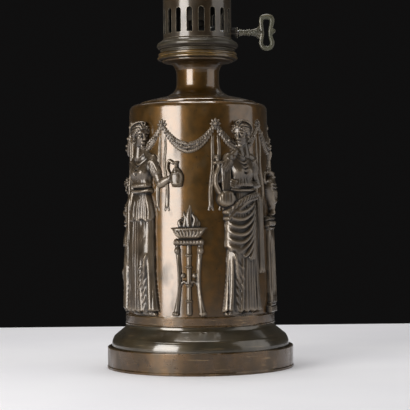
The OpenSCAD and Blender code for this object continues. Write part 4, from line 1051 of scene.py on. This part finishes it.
# %% Casting a mesh
def cast(wax, name, stands_for):
    """Makes the casting's piece, in its place on the wall."""
    h = wax.h * wax.scale
    shown = h > SHOWS
    cells = shown[:-1, :-1] | shown[1:, :-1] | shown[:-1, 1:] | shown[1:, 1:]
    cells[0, :] = cells[-1, :] = False
    cells[:, 0] = cells[:, -1] = False
    # A point where two cells meet by their corners alone would split the mesh, so it is filled
    for _ in range(4):
        a, b, c, d = cells[:-1, :-1], cells[1:, :-1], cells[:-1, 1:], cells[1:, 1:]
        touch = (a & d & ~b & ~c) | (b & c & ~a & ~d)
        for part in (a, b, c, d):
            part |= touch
    level = np.clip(h, 0, None)
    near = level - blurred(level, SURROUNDINGS, GRID_ACROSS, GRID_FINE)
    ridge = np.clip(near / RUBBED, 0, 1) * (h > 0.4)
    hollow = np.clip(-near / DUSTY, 0, 1) * (h > -0.2)

    used = np.zeros(h.shape, bool)
    for shift in ((0, 0), (1, 0), (0, 1), (1, 1)):
        used[shift[0]:shift[0] + cells.shape[0], shift[1]:shift[1] + cells.shape[1]] |= cells
    number = np.cumsum(used.ravel()).reshape(h.shape) - 1
    count = number[-1, -1] + 1
    i, j = np.nonzero(used)
    up = wax.up[j]
    radius = wall_radius(up)
    angle = math.radians(wax.angle) + wax.across[i] / foot_radius
    points = []
    for reach in (radius + np.maximum(h[i, j], BURIED), radius + BACK):
        points.append(np.stack([reach * np.sin(angle), -reach * np.cos(angle), wall_foot + up], 1))
    points = np.vstack(points) * MM

    ci, cj = np.nonzero(cells)
    corners = [number[ci, cj], number[ci + 1, cj], number[ci + 1, cj + 1], number[ci, cj + 1]]
    front = np.stack(corners, 1)
    back = front[:, ::-1] + count
    sides = []
    padded = np.pad(cells, 1)
    for (di, dj), (p, q) in (((-1, 0), (3, 0)), ((1, 0), (1, 2)), ((0, -1), (0, 1)), ((0, 1), (2, 3))):
        edge = ~padded[ci + 1 + di, cj + 1 + dj]
        first, second = front[edge, p], front[edge, q]
        sides.append(np.stack([second, first, first + count, second + count], 1))
    faces = np.vstack([front, back] + sides)
    stored = {"ridge": [ridge[i, j], np.zeros(count)], "hollow": [hollow[i, j], np.zeros(count)]}
    if wax.head:
        placed, skin = head_on(wax)
        faces = np.vstack([faces, skin + len(points)])
        points = np.vstack([points, on_wall(placed, wax.angle) * MM])
        stored["ridge"].append(head_ridge)
        stored["hollow"].append(head_hollow)

    piece = new_piece(name, points, faces.tolist())
    for kind, values in stored.items():
        values = np.concatenate(values).astype(np.float32)
        piece.data.attributes.new(kind, "FLOAT", "POINT").data.foreach_set("value", values)
    piece.data.shade_smooth()
    piece.data.materials.append(finishes["relief_bronze"])
    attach(piece, "lamp")
    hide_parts(stands_for)
    print("%s: %d faces, %.1f mm high" % (name, len(faces), h.max()))


# %% [markdown]
# ## The figures and objects
# Four robed figures, and a basket bearer and an attendant who are smaller, share the dressed body.
# Their arms and what they carry differ. A tripod altar and an urn on a fluted pedestal stand
# between them. They are separate castings, as on a lamp whose figures are soldered on one by one,
# and each is cast at the end of its cell.

# %% [markdown]
# ## Jug bearer
# One arm holds a wine jug out. A jug is turned work, but in relief only its front half shows, so a
# cut-out outline with a full crown gives it, and three ridges mark its mouldings.

# %% Jug bearer
def jug_bearer():
    wax = Casting(-50, -27, 41, 152, fine=96)
    robed(wax, 3, 72, 8)
    mantle(wax, -17.5, 92, 38, 5)
    arm(wax, (-11.5, 120), (-18, 100), (-14.6, 82), (-12.6, 71), (0.4, 1.2, 2.0))
    jug = [(29.4, 99), (28.2, 103), (28.0, 107.5), (29.6, 112), (31.2, 114.6), (30.6, 118.4), (34.6, 118.8),
           (34.2, 114.8), (36.2, 112), (38.4, 107.5), (38.0, 103), (36.4, 99)]
    wax.form(jug, 3.6, 3.4, low=1.6, crown=2.0)
    wax.limb((30.2, 117.4, 0.9, 4.0), (26.4, 119, 0.9, 4.0), (25.4, 113, 0.9, 3.6),
             (28.4, 107.6, 0.9, 3.6), soft=0.2)
    for y in (101.4, 109.6, 113.2):
        wax.ridge([(28.4, y + 0.6), (33.2, y - 0.3), (38.2, y + 0.6)], 0.6, 0.6)
    arm(wax, (10.8, 120.2), (18.6, 101.6), (27.4, 105.6), (34.0, 103.4), (1.2, 2.4, 3.6), 0.25)
    return wax


cast(jug_bearer(), "sculpted_jug_bearer", "relief_jug_bearer")


# %% [markdown]
# ## Tripod altar
# Three slender legs on paws carry a fluted bowl with a fire. Two legs and a middle stem are seen
# from the front, each a stem with swellings. The flames are stems that taper to nothing.

# %% Tripod altar
def altar():
    wax = Casting(-8, -14, 15, 90)
    for side in (-1, 1):
        wax.limb((side * 10, 2.6, 2.2, 0.8), (side * 7.8, 18, 1.5, 1.0), (side * 7.4, 34, 1.6, 1.2),
                 (side * 9, 55, 2.1, 1.0), soft=0.3)
        wax.swell(side * 10.4, 2.4, 2.9, 2.2, 3.2, 0.6)
        wax.swell(side * 8.9, 50.5, 2.5, 3.2, 3.6, 0.8)
        for k in range(3):
            wax.groove([(side * 10.2 + k * 1.3 - 1.3, 3.6), (side * 10.6 + k * 1.5 - 1.5, 1.0)], 0.35, 0.7)
        wax.ridge([(side * 9.6, 6), (side * 7.6, 30), (side * 8.8, 47)], 0.5, 0.6)
        # Stretchers curl from the legs to the middle stem
        wax.limb((side * 7.6, 22, 1.0, 0.8), (side * 4.0, 27, 1.0, 1.0), (0, 24, 1.1, 1.2), soft=0.2)
        wax.swell(side * 4.4, 31.5, 1.9, 1.9, 2.0, 0.8)
        wax.groove([(side * 4.4 + 1.0 * math.cos(a), 31.5 + 1.0 * math.sin(a)) for a in np.linspace(0, 5, 8)],
                   0.35, 0.6)
    wax.limb((0, 3, 2.3, 0.6), (0, 24, 1.7, 1.2), (0, 55, 1.9, 1.2), soft=0.3)
    for y in (12, 24, 38, 47):
        wax.swell(0, y, 2.7, 1.3, 3.2, 0.8)
    wax.form([(-11.6, 54.6), (-11.9, 57.4), (-11.0, 59.4), (11.0, 59.4), (11.9, 57.4), (11.6, 54.6)],
             3.6, 1.4, low=0.8, smooth=False)
    for k in range(9):
        wax.swell(-9.6 + 2.4 * k, 57, 1.0, 1.5, 1.0, 4.2, soft=0.1)
    wax.form([(-7.0, 59), (-10.6, 62.5), (-12.6, 66.2), (-12.9, 68.2), (12.9, 68.2), (12.6, 66.2),
              (10.6, 62.5), (7.0, 59)], 4.0, 2.6, low=0.8, crown=1.4)
    for k in range(9):
        x = -9.6 + 2.4 * k
        wax.ridge([(x * 0.62, 60), (x * 0.95, 63), (x * 1.12, 66)], 0.8, 0.8)
    wax.ridge([(-12.4, 67.6), (0, 67.2), (12.4, 67.6)], 0.8, 0.9)
    # Flames and smoke
    for x, lean, tall, r in ((-6, -1.2, 8, 2.0), (-3, 0.8, 13, 2.5), (0.6, -0.6, 18, 2.8), (4, 1.2, 12, 2.4),
                             (6.8, 0.6, 7, 1.9)):
        wax.limb((x, 68.5, r, 1.4), (x + lean, 68.5 + tall * 0.45, r * 0.85, 1.4),
                 (x - lean * 0.8, 68.5 + tall * 0.8, r * 0.45, 1.0),
                 (x + lean * 0.6, 68.5 + tall, 0.3, 0.6), soft=0.35)
    return wax


cast(altar(), "sculpted_altar", "relief_altar")


# %% [markdown]
# ## Lyre player
# The instrument hides half the body, so it is laid on top of the finished robe and mantle, and the
# playing hand on top of it. That order does what layers of wax do.

# %% Lyre player
def lyre_player():
    wax = Casting(35, -29, 27, 152, fine=88, turn=-1)
    robed(wax, 11, 58, 14)
    wrap(wax, 52)
    mantle(wax, -18, 92, 32, 9)
    arm(wax, (10.8, 120.2), (19.5, 104.0), (14.5, 111.5), (11.6, 119.0), (1.2, 2.2, 3.2), 0.1)
    # Lyre: a tortoise-shell box, two curved arms, a crossbar and strings
    for side in (-1, 1):
        wax.limb((14 + side * 4.6, 94, 1.7, 4.6), (14 + side * 7.8, 101, 1.5, 4.8),
                 (14 + side * 7.6, 108, 1.4, 4.8), (14 + side * 5.4, 114, 1.3, 4.6),
                 (14 + side * 6.6, 120.5, 1.1, 4.2), soft=0.2)
        wax.swell(14 + side * 6.9, 121.5, 1.7, 1.7, 2.2, 3.6)
    wax.form([(7.4, 92), (7.0, 88.0), (9.6, 84.4), (14, 83.2), (18.4, 84.4), (21.0, 88.0), (20.6, 92),
              (17.6, 96), (10.4, 96)], 3.6, 2.4, low=3.4, crown=2.2)
    for k in range(4):
        wax.groove([(9.2 + 3.2 * k, 94.5), (9.2 + 3.2 * k, 85.6)], 0.4, 0.5)
    wax.limb((6.0, 117.2, 1.1, 5.0), (22.0, 117.2, 1.1, 5.0), soft=0.2)
    for k in range(6):
        wax.limb((11.2 + 1.1 * k, 91, 0.34, 6.2), (10.8 + 1.25 * k, 117, 0.34, 5.6), soft=0.05)
    arm(wax, (-11.8, 120), (-18.6, 100.8), (1.0, 98.4), (11.5, 101.5), (0.6, 2.2, 5.4), 0.25)
    return wax


cast(lyre_player(), "sculpted_lyre_player", "relief_lyre_player")


# %% [markdown]
# ## Urn on a fluted pedestal
# The pedestal is a half column: a plain sheet of wax with scored flutes. The urn's right side is
# its left side in reverse, so only one side's outline is written.

# %% Urn on a fluted pedestal
def urn_stand():
    wax = Casting(79, -16, 17, 118)
    wax.form([(-14, 0.3), (-14, 5.6), (14, 5.6), (14, 0.3)], 3.8, 0.9, low=0.4, smooth=False)
    wax.form([(-12.4, 5.0), (-11.6, 8.6), (11.6, 8.6), (12.4, 5.0)], 3.4, 1.4, low=0.4, smooth=False)
    wax.cloth([(8.2, -10.8, 10.8, 4.6), (36, -10.2, 10.2, 4.8), (67, -9.8, 9.8, 4.6)], [], 0.0, power=3.2)
    for k in range(8):
        x = -8.6 + 2.46 * k
        wax.groove([(x * 1.06, 12), (x, 36), (x * 0.96, 63.5)], 0.95, 1.0)
    for y, half, tall in ((66.6, 11.0, 1.3), (70.4, 13.4, 2.4), (74.2, 14.4, 1.5)):
        wax.form([(-half, y - tall), (-half, y + tall), (half, y + tall), (half, y - tall)], 3.4, 1.2,
                 low=0.6 + 0.1 * half, smooth=False)
    for k in range(11):
        wax.swell(-11 + 2.2 * k, 70.4, 0.85, 1.7, 0.9, 5.2, soft=0.1)
    urn = [(-3.4, 76), (-5.0, 77.2), (-2.4, 79.4), (-2.2, 82.4), (-5.6, 86.0), (-9.6, 92.4),
           (-11.0, 98.6), (-9.8, 103.2), (-5.6, 105.8), (-4.2, 108.0), (-6.4, 110.6), (-5.8, 112.0),
           (0, 112.4)]
    wax.form(urn + [(-x, y) for x, y in urn[-2::-1]], 4.0, 3.0, low=0.8, crown=3.2)
    for k in range(9):
        x = -6.8 + 1.7 * k
        wax.ridge([(x * 0.42, 85.4), (x * 0.98, 91), (x * 1.15, 97.4)], 0.75, 0.8)
    for y, half in ((98.8, 10.4), (101.4, 9.9), (107.2, 4.0)):
        wax.ridge([(-half, y + 0.4), (0, y - 0.5), (half, y + 0.4)], 0.6, 0.7)
    for side in (-1, 1):
        wax.limb((side * 9.6, 101.4, 1.0, 2.4), (side * 12.6, 105.4, 1.0, 2.0),
                 (side * 10.6, 109.6, 1.0, 2.0), (side * 6.0, 110.2, 1.0, 2.4), soft=0.2)
    wax.form([(-5.0, 112.2), (-3.2, 114.4), (0, 115.2), (3.2, 114.4), (5.0, 112.2)], 3.0, 1.8, low=0.8)
    wax.swell(0, 116.0, 1.4, 1.4, 2.4, 0.8)
    return wax


cast(urn_stand(), "sculpted_urn_stand", "relief_urn_stand")


# %% [markdown]
# ## Torch bearer
# The torch is a cone of three bound bands that flares into a cup, with flames like the altar's.

# %% Torch bearer
def torch_bearer():
    wax = Casting(120, -31, 27, 158, fine=94, turn=-1)
    robed(wax, 17, 62, -8)
    mantle(wax, -18.5, 92, 34, 21)
    arm(wax, (-11.5, 120), (-18, 100), (-12.4, 84), (-9.0, 74), (0.4, 1.2, 3.0))
    wax.limb((19.6, 108, 1.0, 2.6), (21.6, 124, 1.4, 2.8), (22.9, 137, 2.2, 2.8), soft=0.2)
    for k in range(3):
        wax.ridge([(18.8 + 0.4 * k, 130 + 3 * k), (22.2 + 0.3 * k, 129.4 + 3 * k),
                   (24.6 + 0.3 * k, 130 + 3 * k)], 0.5, 0.7)
    wax.swell(22.9, 138, 3.4, 1.6, 4.0, 0.8)
    for x, lean, tall in ((21.0, -0.8, 9), (23.2, 0.6, 14), (25.0, 0.8, 8)):
        wax.limb((x, 139, 2.0, 1.4), (x + lean, 139 + tall * 0.5, 1.6, 1.4),
                 (x - lean, 139 + tall, 0.3, 0.6), soft=0.3)
    arm(wax, (10.8, 120.4), (21.0, 110.6), (20.4, 121.0), (22.4, 129.5), (1.2, 2.2, 3.4), 0.3)
    return wax


cast(torch_bearer(), "sculpted_torch_bearer", "relief_torch_bearer")


# %% [markdown]
# ## Wreath bearer
# A wreath is leaves in two rows round a circle, each tilted away from it. Laying them in a loop
# keeps them even, as bound laurel is.

# %% Wreath bearer
def wreath_bearer():
    wax = Casting(169, -29, 38, 152, fine=94)
    robed(wax, 23, 60, -4)
    wrap(wax, 58)
    mantle(wax, -18, 92, 38, 27)
    arm(wax, (-11.5, 120), (-18, 100), (-12.4, 84), (-9.4, 74), (0.4, 1.2, 3.0))
    for k in range(26):
        a = 2 * math.pi * k / 26
        for side in (-1, 1):
            r = 7 + side * 1.3
            wax.swell(26.5 + r * math.cos(a), 135 + r * math.sin(a), 1.9, 0.85, 1.9, 1.8,
                      math.degrees(a) + 90 - side * 32, soft=0.15)
    arm(wax, (10.8, 120.4), (20.6, 110.6), (23.0, 120.4), (25.6, 128.6), (1.2, 2.2, 3.2), 0.2)
    return wax


cast(wreath_bearer(), "sculpted_wreath_bearer", "relief_wreath_bearer")


# %% [markdown]
# ## Basket bearer
# This smaller figure carries a basket of fruit on the head. Wickerwork is short pellets, tilted
# to and fro from row to row, which reads as weave at this size.

# %% Basket bearer
def basket_bearer():
    wax = Casting(218, -28, 23, 148, scale=0.88, fine=80, turn=-1)
    robed(wax, 31, 24, 2)
    arm(wax, (-11.8, 120.4), (-18, 100), (-13.6, 84), (-11, 74), (0.4, 1.2, 2.6))
    basket = [(-6.4, 150.5), (-11.8, 163.6), (11.8, 163.6), (6.4, 150.5)]
    wax.form(basket, 4.2, 2.4, low=0.8, smooth=False, crown=1.4)
    for row in range(5):
        for k in range(9):
            x = (-6.0 + 1.5 * k) * (1 + 0.17 * row)
            wax.swell(x + 0.4 * (row % 2), 152.4 + 2.5 * row, 1.1, 0.75, 0.8, 5.0,
                      20 if row % 2 else -20, soft=0.1)
    for k in range(5):
        wax.swell(-8 + 4 * k, 164.6, 2.5, 2.1, 3.6, 1.6, soft=0.3)
    arm(wax, (10.8, 121), (20.0, 133.0), (13.0, 145.4), (8.4, 153.6), (1.2, 2.0, 3.6), 0.1)
    return wax


cast(basket_bearer(), "sculpted_basket_bearer", "relief_basket_bearer")


# %% [markdown]
# ## Attendant
# The smallest figure holds a bowl of fruit. It uses the same body at 0.72 of the size, as a
# workshop might with a stock pattern.

# %% Attendant
def attendant():
    wax = Casting(257, -21, 26, 110, scale=0.72, fine=66)
    robed(wax, 37, 55, 12)
    mantle(wax, -17.5, 92, 40, 41)
    arm(wax, (-11.8, 120), (-18, 100), (-14, 83), (-11, 73), (0.4, 1.2, 2.6))
    wax.form([(19.5, 118.0), (22.4, 112.6), (27.0, 110.8), (31.6, 112.6), (34.5, 118.0)], 3.6, 2.0,
             low=2.0, crown=1.0)
    wax.ridge([(19.8, 117.4), (27, 116.6), (34.2, 117.4)], 0.8, 0.9)
    for k in range(4):
        wax.swell(22.4 + 3.1 * k, 118.8, 2.2, 1.9, 3.0, 1.8, soft=0.3)
    arm(wax, (10.8, 120.2), (18.0, 102.6), (23.4, 108.2), (30.0, 110.4), (1.2, 2.2, 3.6), 0.2)
    return wax


cast(attendant(), "sculpted_attendant", "relief_attendant")


# %% [markdown]
# ## Festoons
# Leafy swags hang from rosette to rosette behind the figures' heads. A garland is many small
# leaves laid along the swag in three rows, each a tilted egg shape. A rope's true curve is a
# catenary; a parabola is so near it over a span this short that nobody could tell.

# %% A festoon: rosette, swag to the next rosette, two ribbons
def festoon(start, end, rosette_up=147.0, dip=18.0, ribbon=62.0):
    """From the rosette at one angle to the next; the ribbons hang from the first."""
    span = math.radians((end - start) % 360) * foot_radius
    wax = Casting(start, -9, span + 3, rosette_up + 8, low=rosette_up - ribbon - 8)
    rng = np.random.default_rng(start + 400)
    for side in (-1, 1):
        sway = rng.uniform(-0.8, 0.8)
        spine = [(side * 1.4, rosette_up - 2, 1.5, 0.5),
                 (side * 2.6 + sway, rosette_up - ribbon * 0.25, 1.7, 0.7),
                 (side * 2.6 - sway, rosette_up - ribbon * 0.5, 1.9, 0.6),
                 (side * 4.2 + sway, rosette_up - ribbon * 0.78, 2.0, 0.8),
                 (side * 4.4, rosette_up - ribbon, 2.2, 0.6)]
        wax.limb(*spine, soft=0.2)
        for off in (-0.9, 0.9):
            wax.ridge([(p[0] + off, p[1]) for p in spine], 0.5, 0.6)
        foot = rosette_up - ribbon
        for k in (-1, 1):
            wax.limb((side * 4.4, foot + 4, 1.2, 0.8), (side * 4.4 + 1.6 * k, foot - 3.5, 1.3, 0.5), soft=0.2)
    count = max(int(span / 1.55), 8)
    for k in range(count):
        t = (k + 0.5) / count
        x, y = span * t, rosette_up - dip * 4 * t * (1 - t)
        lean = math.degrees(math.atan(-dip * 4 * (1 - 2 * t) / span))
        full = 1.2 + 1.5 * math.sin(math.pi * t)
        wax.swell(x, y, 2.2, 1.1 + 0.3 * full, 1.6 + 0.8 * full, 0.4, lean, soft=0.3)
        for row in (-1, 1):
            wax.swell(x, y + row * full * 0.95, 2.3, 0.95, 1.4, 1.0 + 0.5 * full,
                      lean - (42 if t < 0.5 else -42), soft=0.15)
        if k % 4 == 2:
            wax.swell(x + 0.4, y + 0.3, 1.1, 1.1, 1.2, 2.2 + 0.7 * full, soft=0.1)
    for k in range(8):
        a = math.pi / 4 * k
        wax.swell(2.9 * math.cos(a), rosette_up + 2.9 * math.sin(a), 1.9, 1.15, 1.8, 1.6,
                  math.degrees(a), soft=0.15)
    wax.swell(0, rosette_up, 1.7, 1.7, 2.0, 2.6, soft=0.1)
    return wax


# %% Festoons all round
ROSETTES = (-30, 14, 57, 100, 144, 191, 239, 288)
for number, (start, end) in enumerate(zip(ROSETTES, ROSETTES[1:] + ROSETTES[:1])):
    cast(festoon(start, end), "sculpted_festoon_%d" % (number + 1), "relief_festoons")


# %% [markdown]
# ## The winding key
# The key is a rough brass casting: a turned socket, a knuckle, and an openwork bow of two lobes
# with a nib at its side. A bevelled curve could give the bow, but not the webs that fill the
# corners where it meets the stem. So it is melted from pellets of wax like the heads, along the
# bow's middle line, and every edge comes out round as on the worn original.

# %% Winding key
# Along the bow's middle line: out from its middle, up, and radius
KEY_LOOP = [(-4.2, 9.2, 1.8), (-3.4, 11.8, 2.0), (0, 12.6, 2.2), (3.4, 11.9, 2.1), (4.5, 9.2, 2.0),
            (3.9, 5.4, 1.8), (3.1, 1.6, 1.7), (3.0, -1.6, 1.6), (3.7, -5.2, 1.7), (4.6, -8.4, 1.9),
            (3.3, -11.7, 1.8), (0.2, -12.9, 1.9), (-3.0, -11.7, 1.8), (-4.4, -8.6, 1.7),
            (-4.0, -4.8, 1.6), (-3.4, -1.4, 1.7), (-3.5, 1.8, 1.6), (-4.1, 5.6, 1.7), (-4.2, 9.2, 1.8)]
BOW_FROM_TIP = 7.7
BOW_FLATTENED = 0.9
# Turned collars of the socket: distance from its mouth, and radius
KEY_COLLARS = ((0.7, 3.1), (2.2, 2.6), (4.6, 2.35), (7.0, 2.5), (8.6, 2.9), (10.8, 2.7), (12.6, 3.1),
               (14.0, 2.4))
COLLAR_THICK = 0.7


def winding_key():
    """The key's points in millimetres, in its place, and its faces."""
    low, high = (np.array(corner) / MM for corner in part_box("winding_key"))
    bush_low, bush_high = (corner[2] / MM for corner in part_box("key_bush"))
    axis_up = (bush_low + bush_high) / 2
    start, bow = low[0], high[0] - BOW_FROM_TIP
    wax = Pellets()
    wax.tube(*[(bow + x, 0, z, r) for x, z, r in KEY_LOOP])
    # The nib, and the web between stem and bow
    for z in (-1.6, 0.8, 3.2):
        wax.tube((bow + 3.2, 0, z, 1.3), (bow + 6.5, 0, 0.9 + 0.2 * z, 0.8))
    for side in (-1, 1):
        wax.tube((start + 12.2, 0, side * 1.2, 1.4), (start + 15.4, 0, side * 2.6, 1.3),
                 (bow - 4.2, 0, side * 5.4, 1.2))
        wax.tube((bow - 4.2, 0, side * 2.6, 1.1), (bow - 3.6, 0, side * 6.0, 1.0))
    wax.tube((start + 11.0, 0, 0, 2.2), (bow - 3.6, 0, 0, 1.7))
    # Socket with its collars, and the knuckle
    for place, radius in KEY_COLLARS:
        wax.ring(start + place, radius, COLLAR_THICK)
    wax.tube((start + 2.2, 0, 0, 2.1), (start + 11.4, 0, 0, 2.1))
    points, faces = wax.melted(0.3, 3)
    # The bow was filed a little flatter than round
    points[:, 1] *= np.where(points[:, 0] > bow - 5.5, BOW_FLATTENED, 1.0)
    return points + (0, 0, axis_up), faces


key_points, key_faces = winding_key()
key_casting = new_piece("key_casting", key_points * MM, key_faces.tolist())
key_casting.data.shade_smooth()
key_casting.data.materials.append(finishes["key_brass"])
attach(key_casting, "key")
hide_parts("winding_key")
print("key: %d faces" % len(key_faces))


# %% [markdown]
# ## Finishes on the frame's nodes
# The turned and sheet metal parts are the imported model's own meshes. Its materials carry the slot
# names, so each node gets the finish of its slot. Curved faces are shaded smooth and edges sharper
# than 32 degrees stay crisp, as lathe work does.

# %% Dress the nodes
for node in nodes.values():
    slot = node.data.materials[0].name.split(".")[0]
    node.data.materials[0] = finishes[slot]
    node.data.shade_smooth()
    node.data.set_sharp_from_angle(angle=math.radians(32))
print("dressed: %d nodes" % len(nodes))


# %% [markdown]
# ## Floor, backdrop and light
# The lamp stands on a white table that ends a little behind it, in a black room. The camera sees
# the room darker than the metal mirrors it: a real room is never quite black, and bronze shows it.

# %% Floor
TABLE_FRONT = -1700
TABLE_BACK = 391
TABLE_SIDE = 1500
corners = [(-TABLE_SIDE, TABLE_FRONT), (TABLE_SIDE, TABLE_FRONT), (TABLE_SIDE, TABLE_BACK),
           (-TABLE_SIDE, TABLE_BACK)]
floor = new_piece("floor", [(x * MM, y * MM, 0) for x, y in corners], [(0, 1, 2, 3)])
table = Finish("table_top", Roughness=0.5, Specular_IOR_Level=0.2)
table.set(Base_Color=table.mix(colour(236, 237, 242), colour(241, 242, 246), table.noise(6, 2)))
floor.data.materials.append(table.material)
print("table: %.1f by %.1f m" % (2 * TABLE_SIDE * MM, (TABLE_BACK - TABLE_FRONT) * MM))

# %% Room
# What reflections, diffuse surfaces and the camera see of the room
MIRRORED = (0.036, 0.034, 0.031, 1)
SCATTERED = (0.2, 0.2, 0.205, 1)
SEEN = (0.0052, 0.005, 0.005, 1)
world = bpy.data.worlds.new("room")
bpy.context.scene.world = world
world.use_nodes = True
room = NodeTree(world.node_tree)
indirect = room.mix(MIRRORED, SCATTERED, room.node("ShaderNodeLightPath", output="Is Diffuse Ray"))
seen = room.mix(indirect, SEEN, room.node("ShaderNodeLightPath", output="Is Camera Ray"))
room.feed(room.tree.nodes["Background"].inputs["Color"], seen)
print("room: %d nodes" % len(room.tree.nodes))


# %% [markdown]
# ## Lights
# Polished metal shows its lights as shapes, so their places could be read from the photograph's
# reflections: one bright panel on the left that reaches down to the table, a large dim one on the
# right, one overhead and two faint ones behind.

# %% Lights
WARM_WHITE = (1.0, 0.97, 0.94)
# Name, azimuth, distance, height, width, tall, radiance, and the height that it faces
PANELS = (("left_panel", -44, 900, 300, 520, 620, 8.3, 300),
          ("right_panel", 76, 1000, 480, 900, 960, 1.1, 300),
          ("overhead", 200, 120, 1300, 560, 560, 8.8, 0),
          ("behind_left", -165, 800, 1000, 500, 500, 0.7, 200),
          ("behind_right", 150, 800, 1000, 500, 500, 0.4, 200))


def light(name, azimuth, distance, height, width, tall, radiance, aim_height):
    """A soft panel that faces the lamp; azimuth is counted from the front towards +X. It isn't
    seen through the glass of the chimney."""
    source = bpy.data.lights.new(name, "AREA")
    source.shape, source.size, source.size_y = "RECTANGLE", width * MM, tall * MM
    source.energy = radiance * math.pi * width * tall * MM * MM
    source.color = WARM_WHITE
    panel = bpy.data.objects.new(name, source)
    a = math.radians(azimuth)
    panel.location = Vector((distance * math.sin(a), -distance * math.cos(a), height)) * MM
    toward = Vector((0, 0, aim_height * MM)) - panel.location
    panel.rotation_euler = toward.to_track_quat("-Z", "Y").to_euler()
    panel.visible_transmission = False
    bpy.context.scene.collection.objects.link(panel)


for panel_values in PANELS:
    light(*panel_values)
print("lights: %d panels" % len(PANELS))
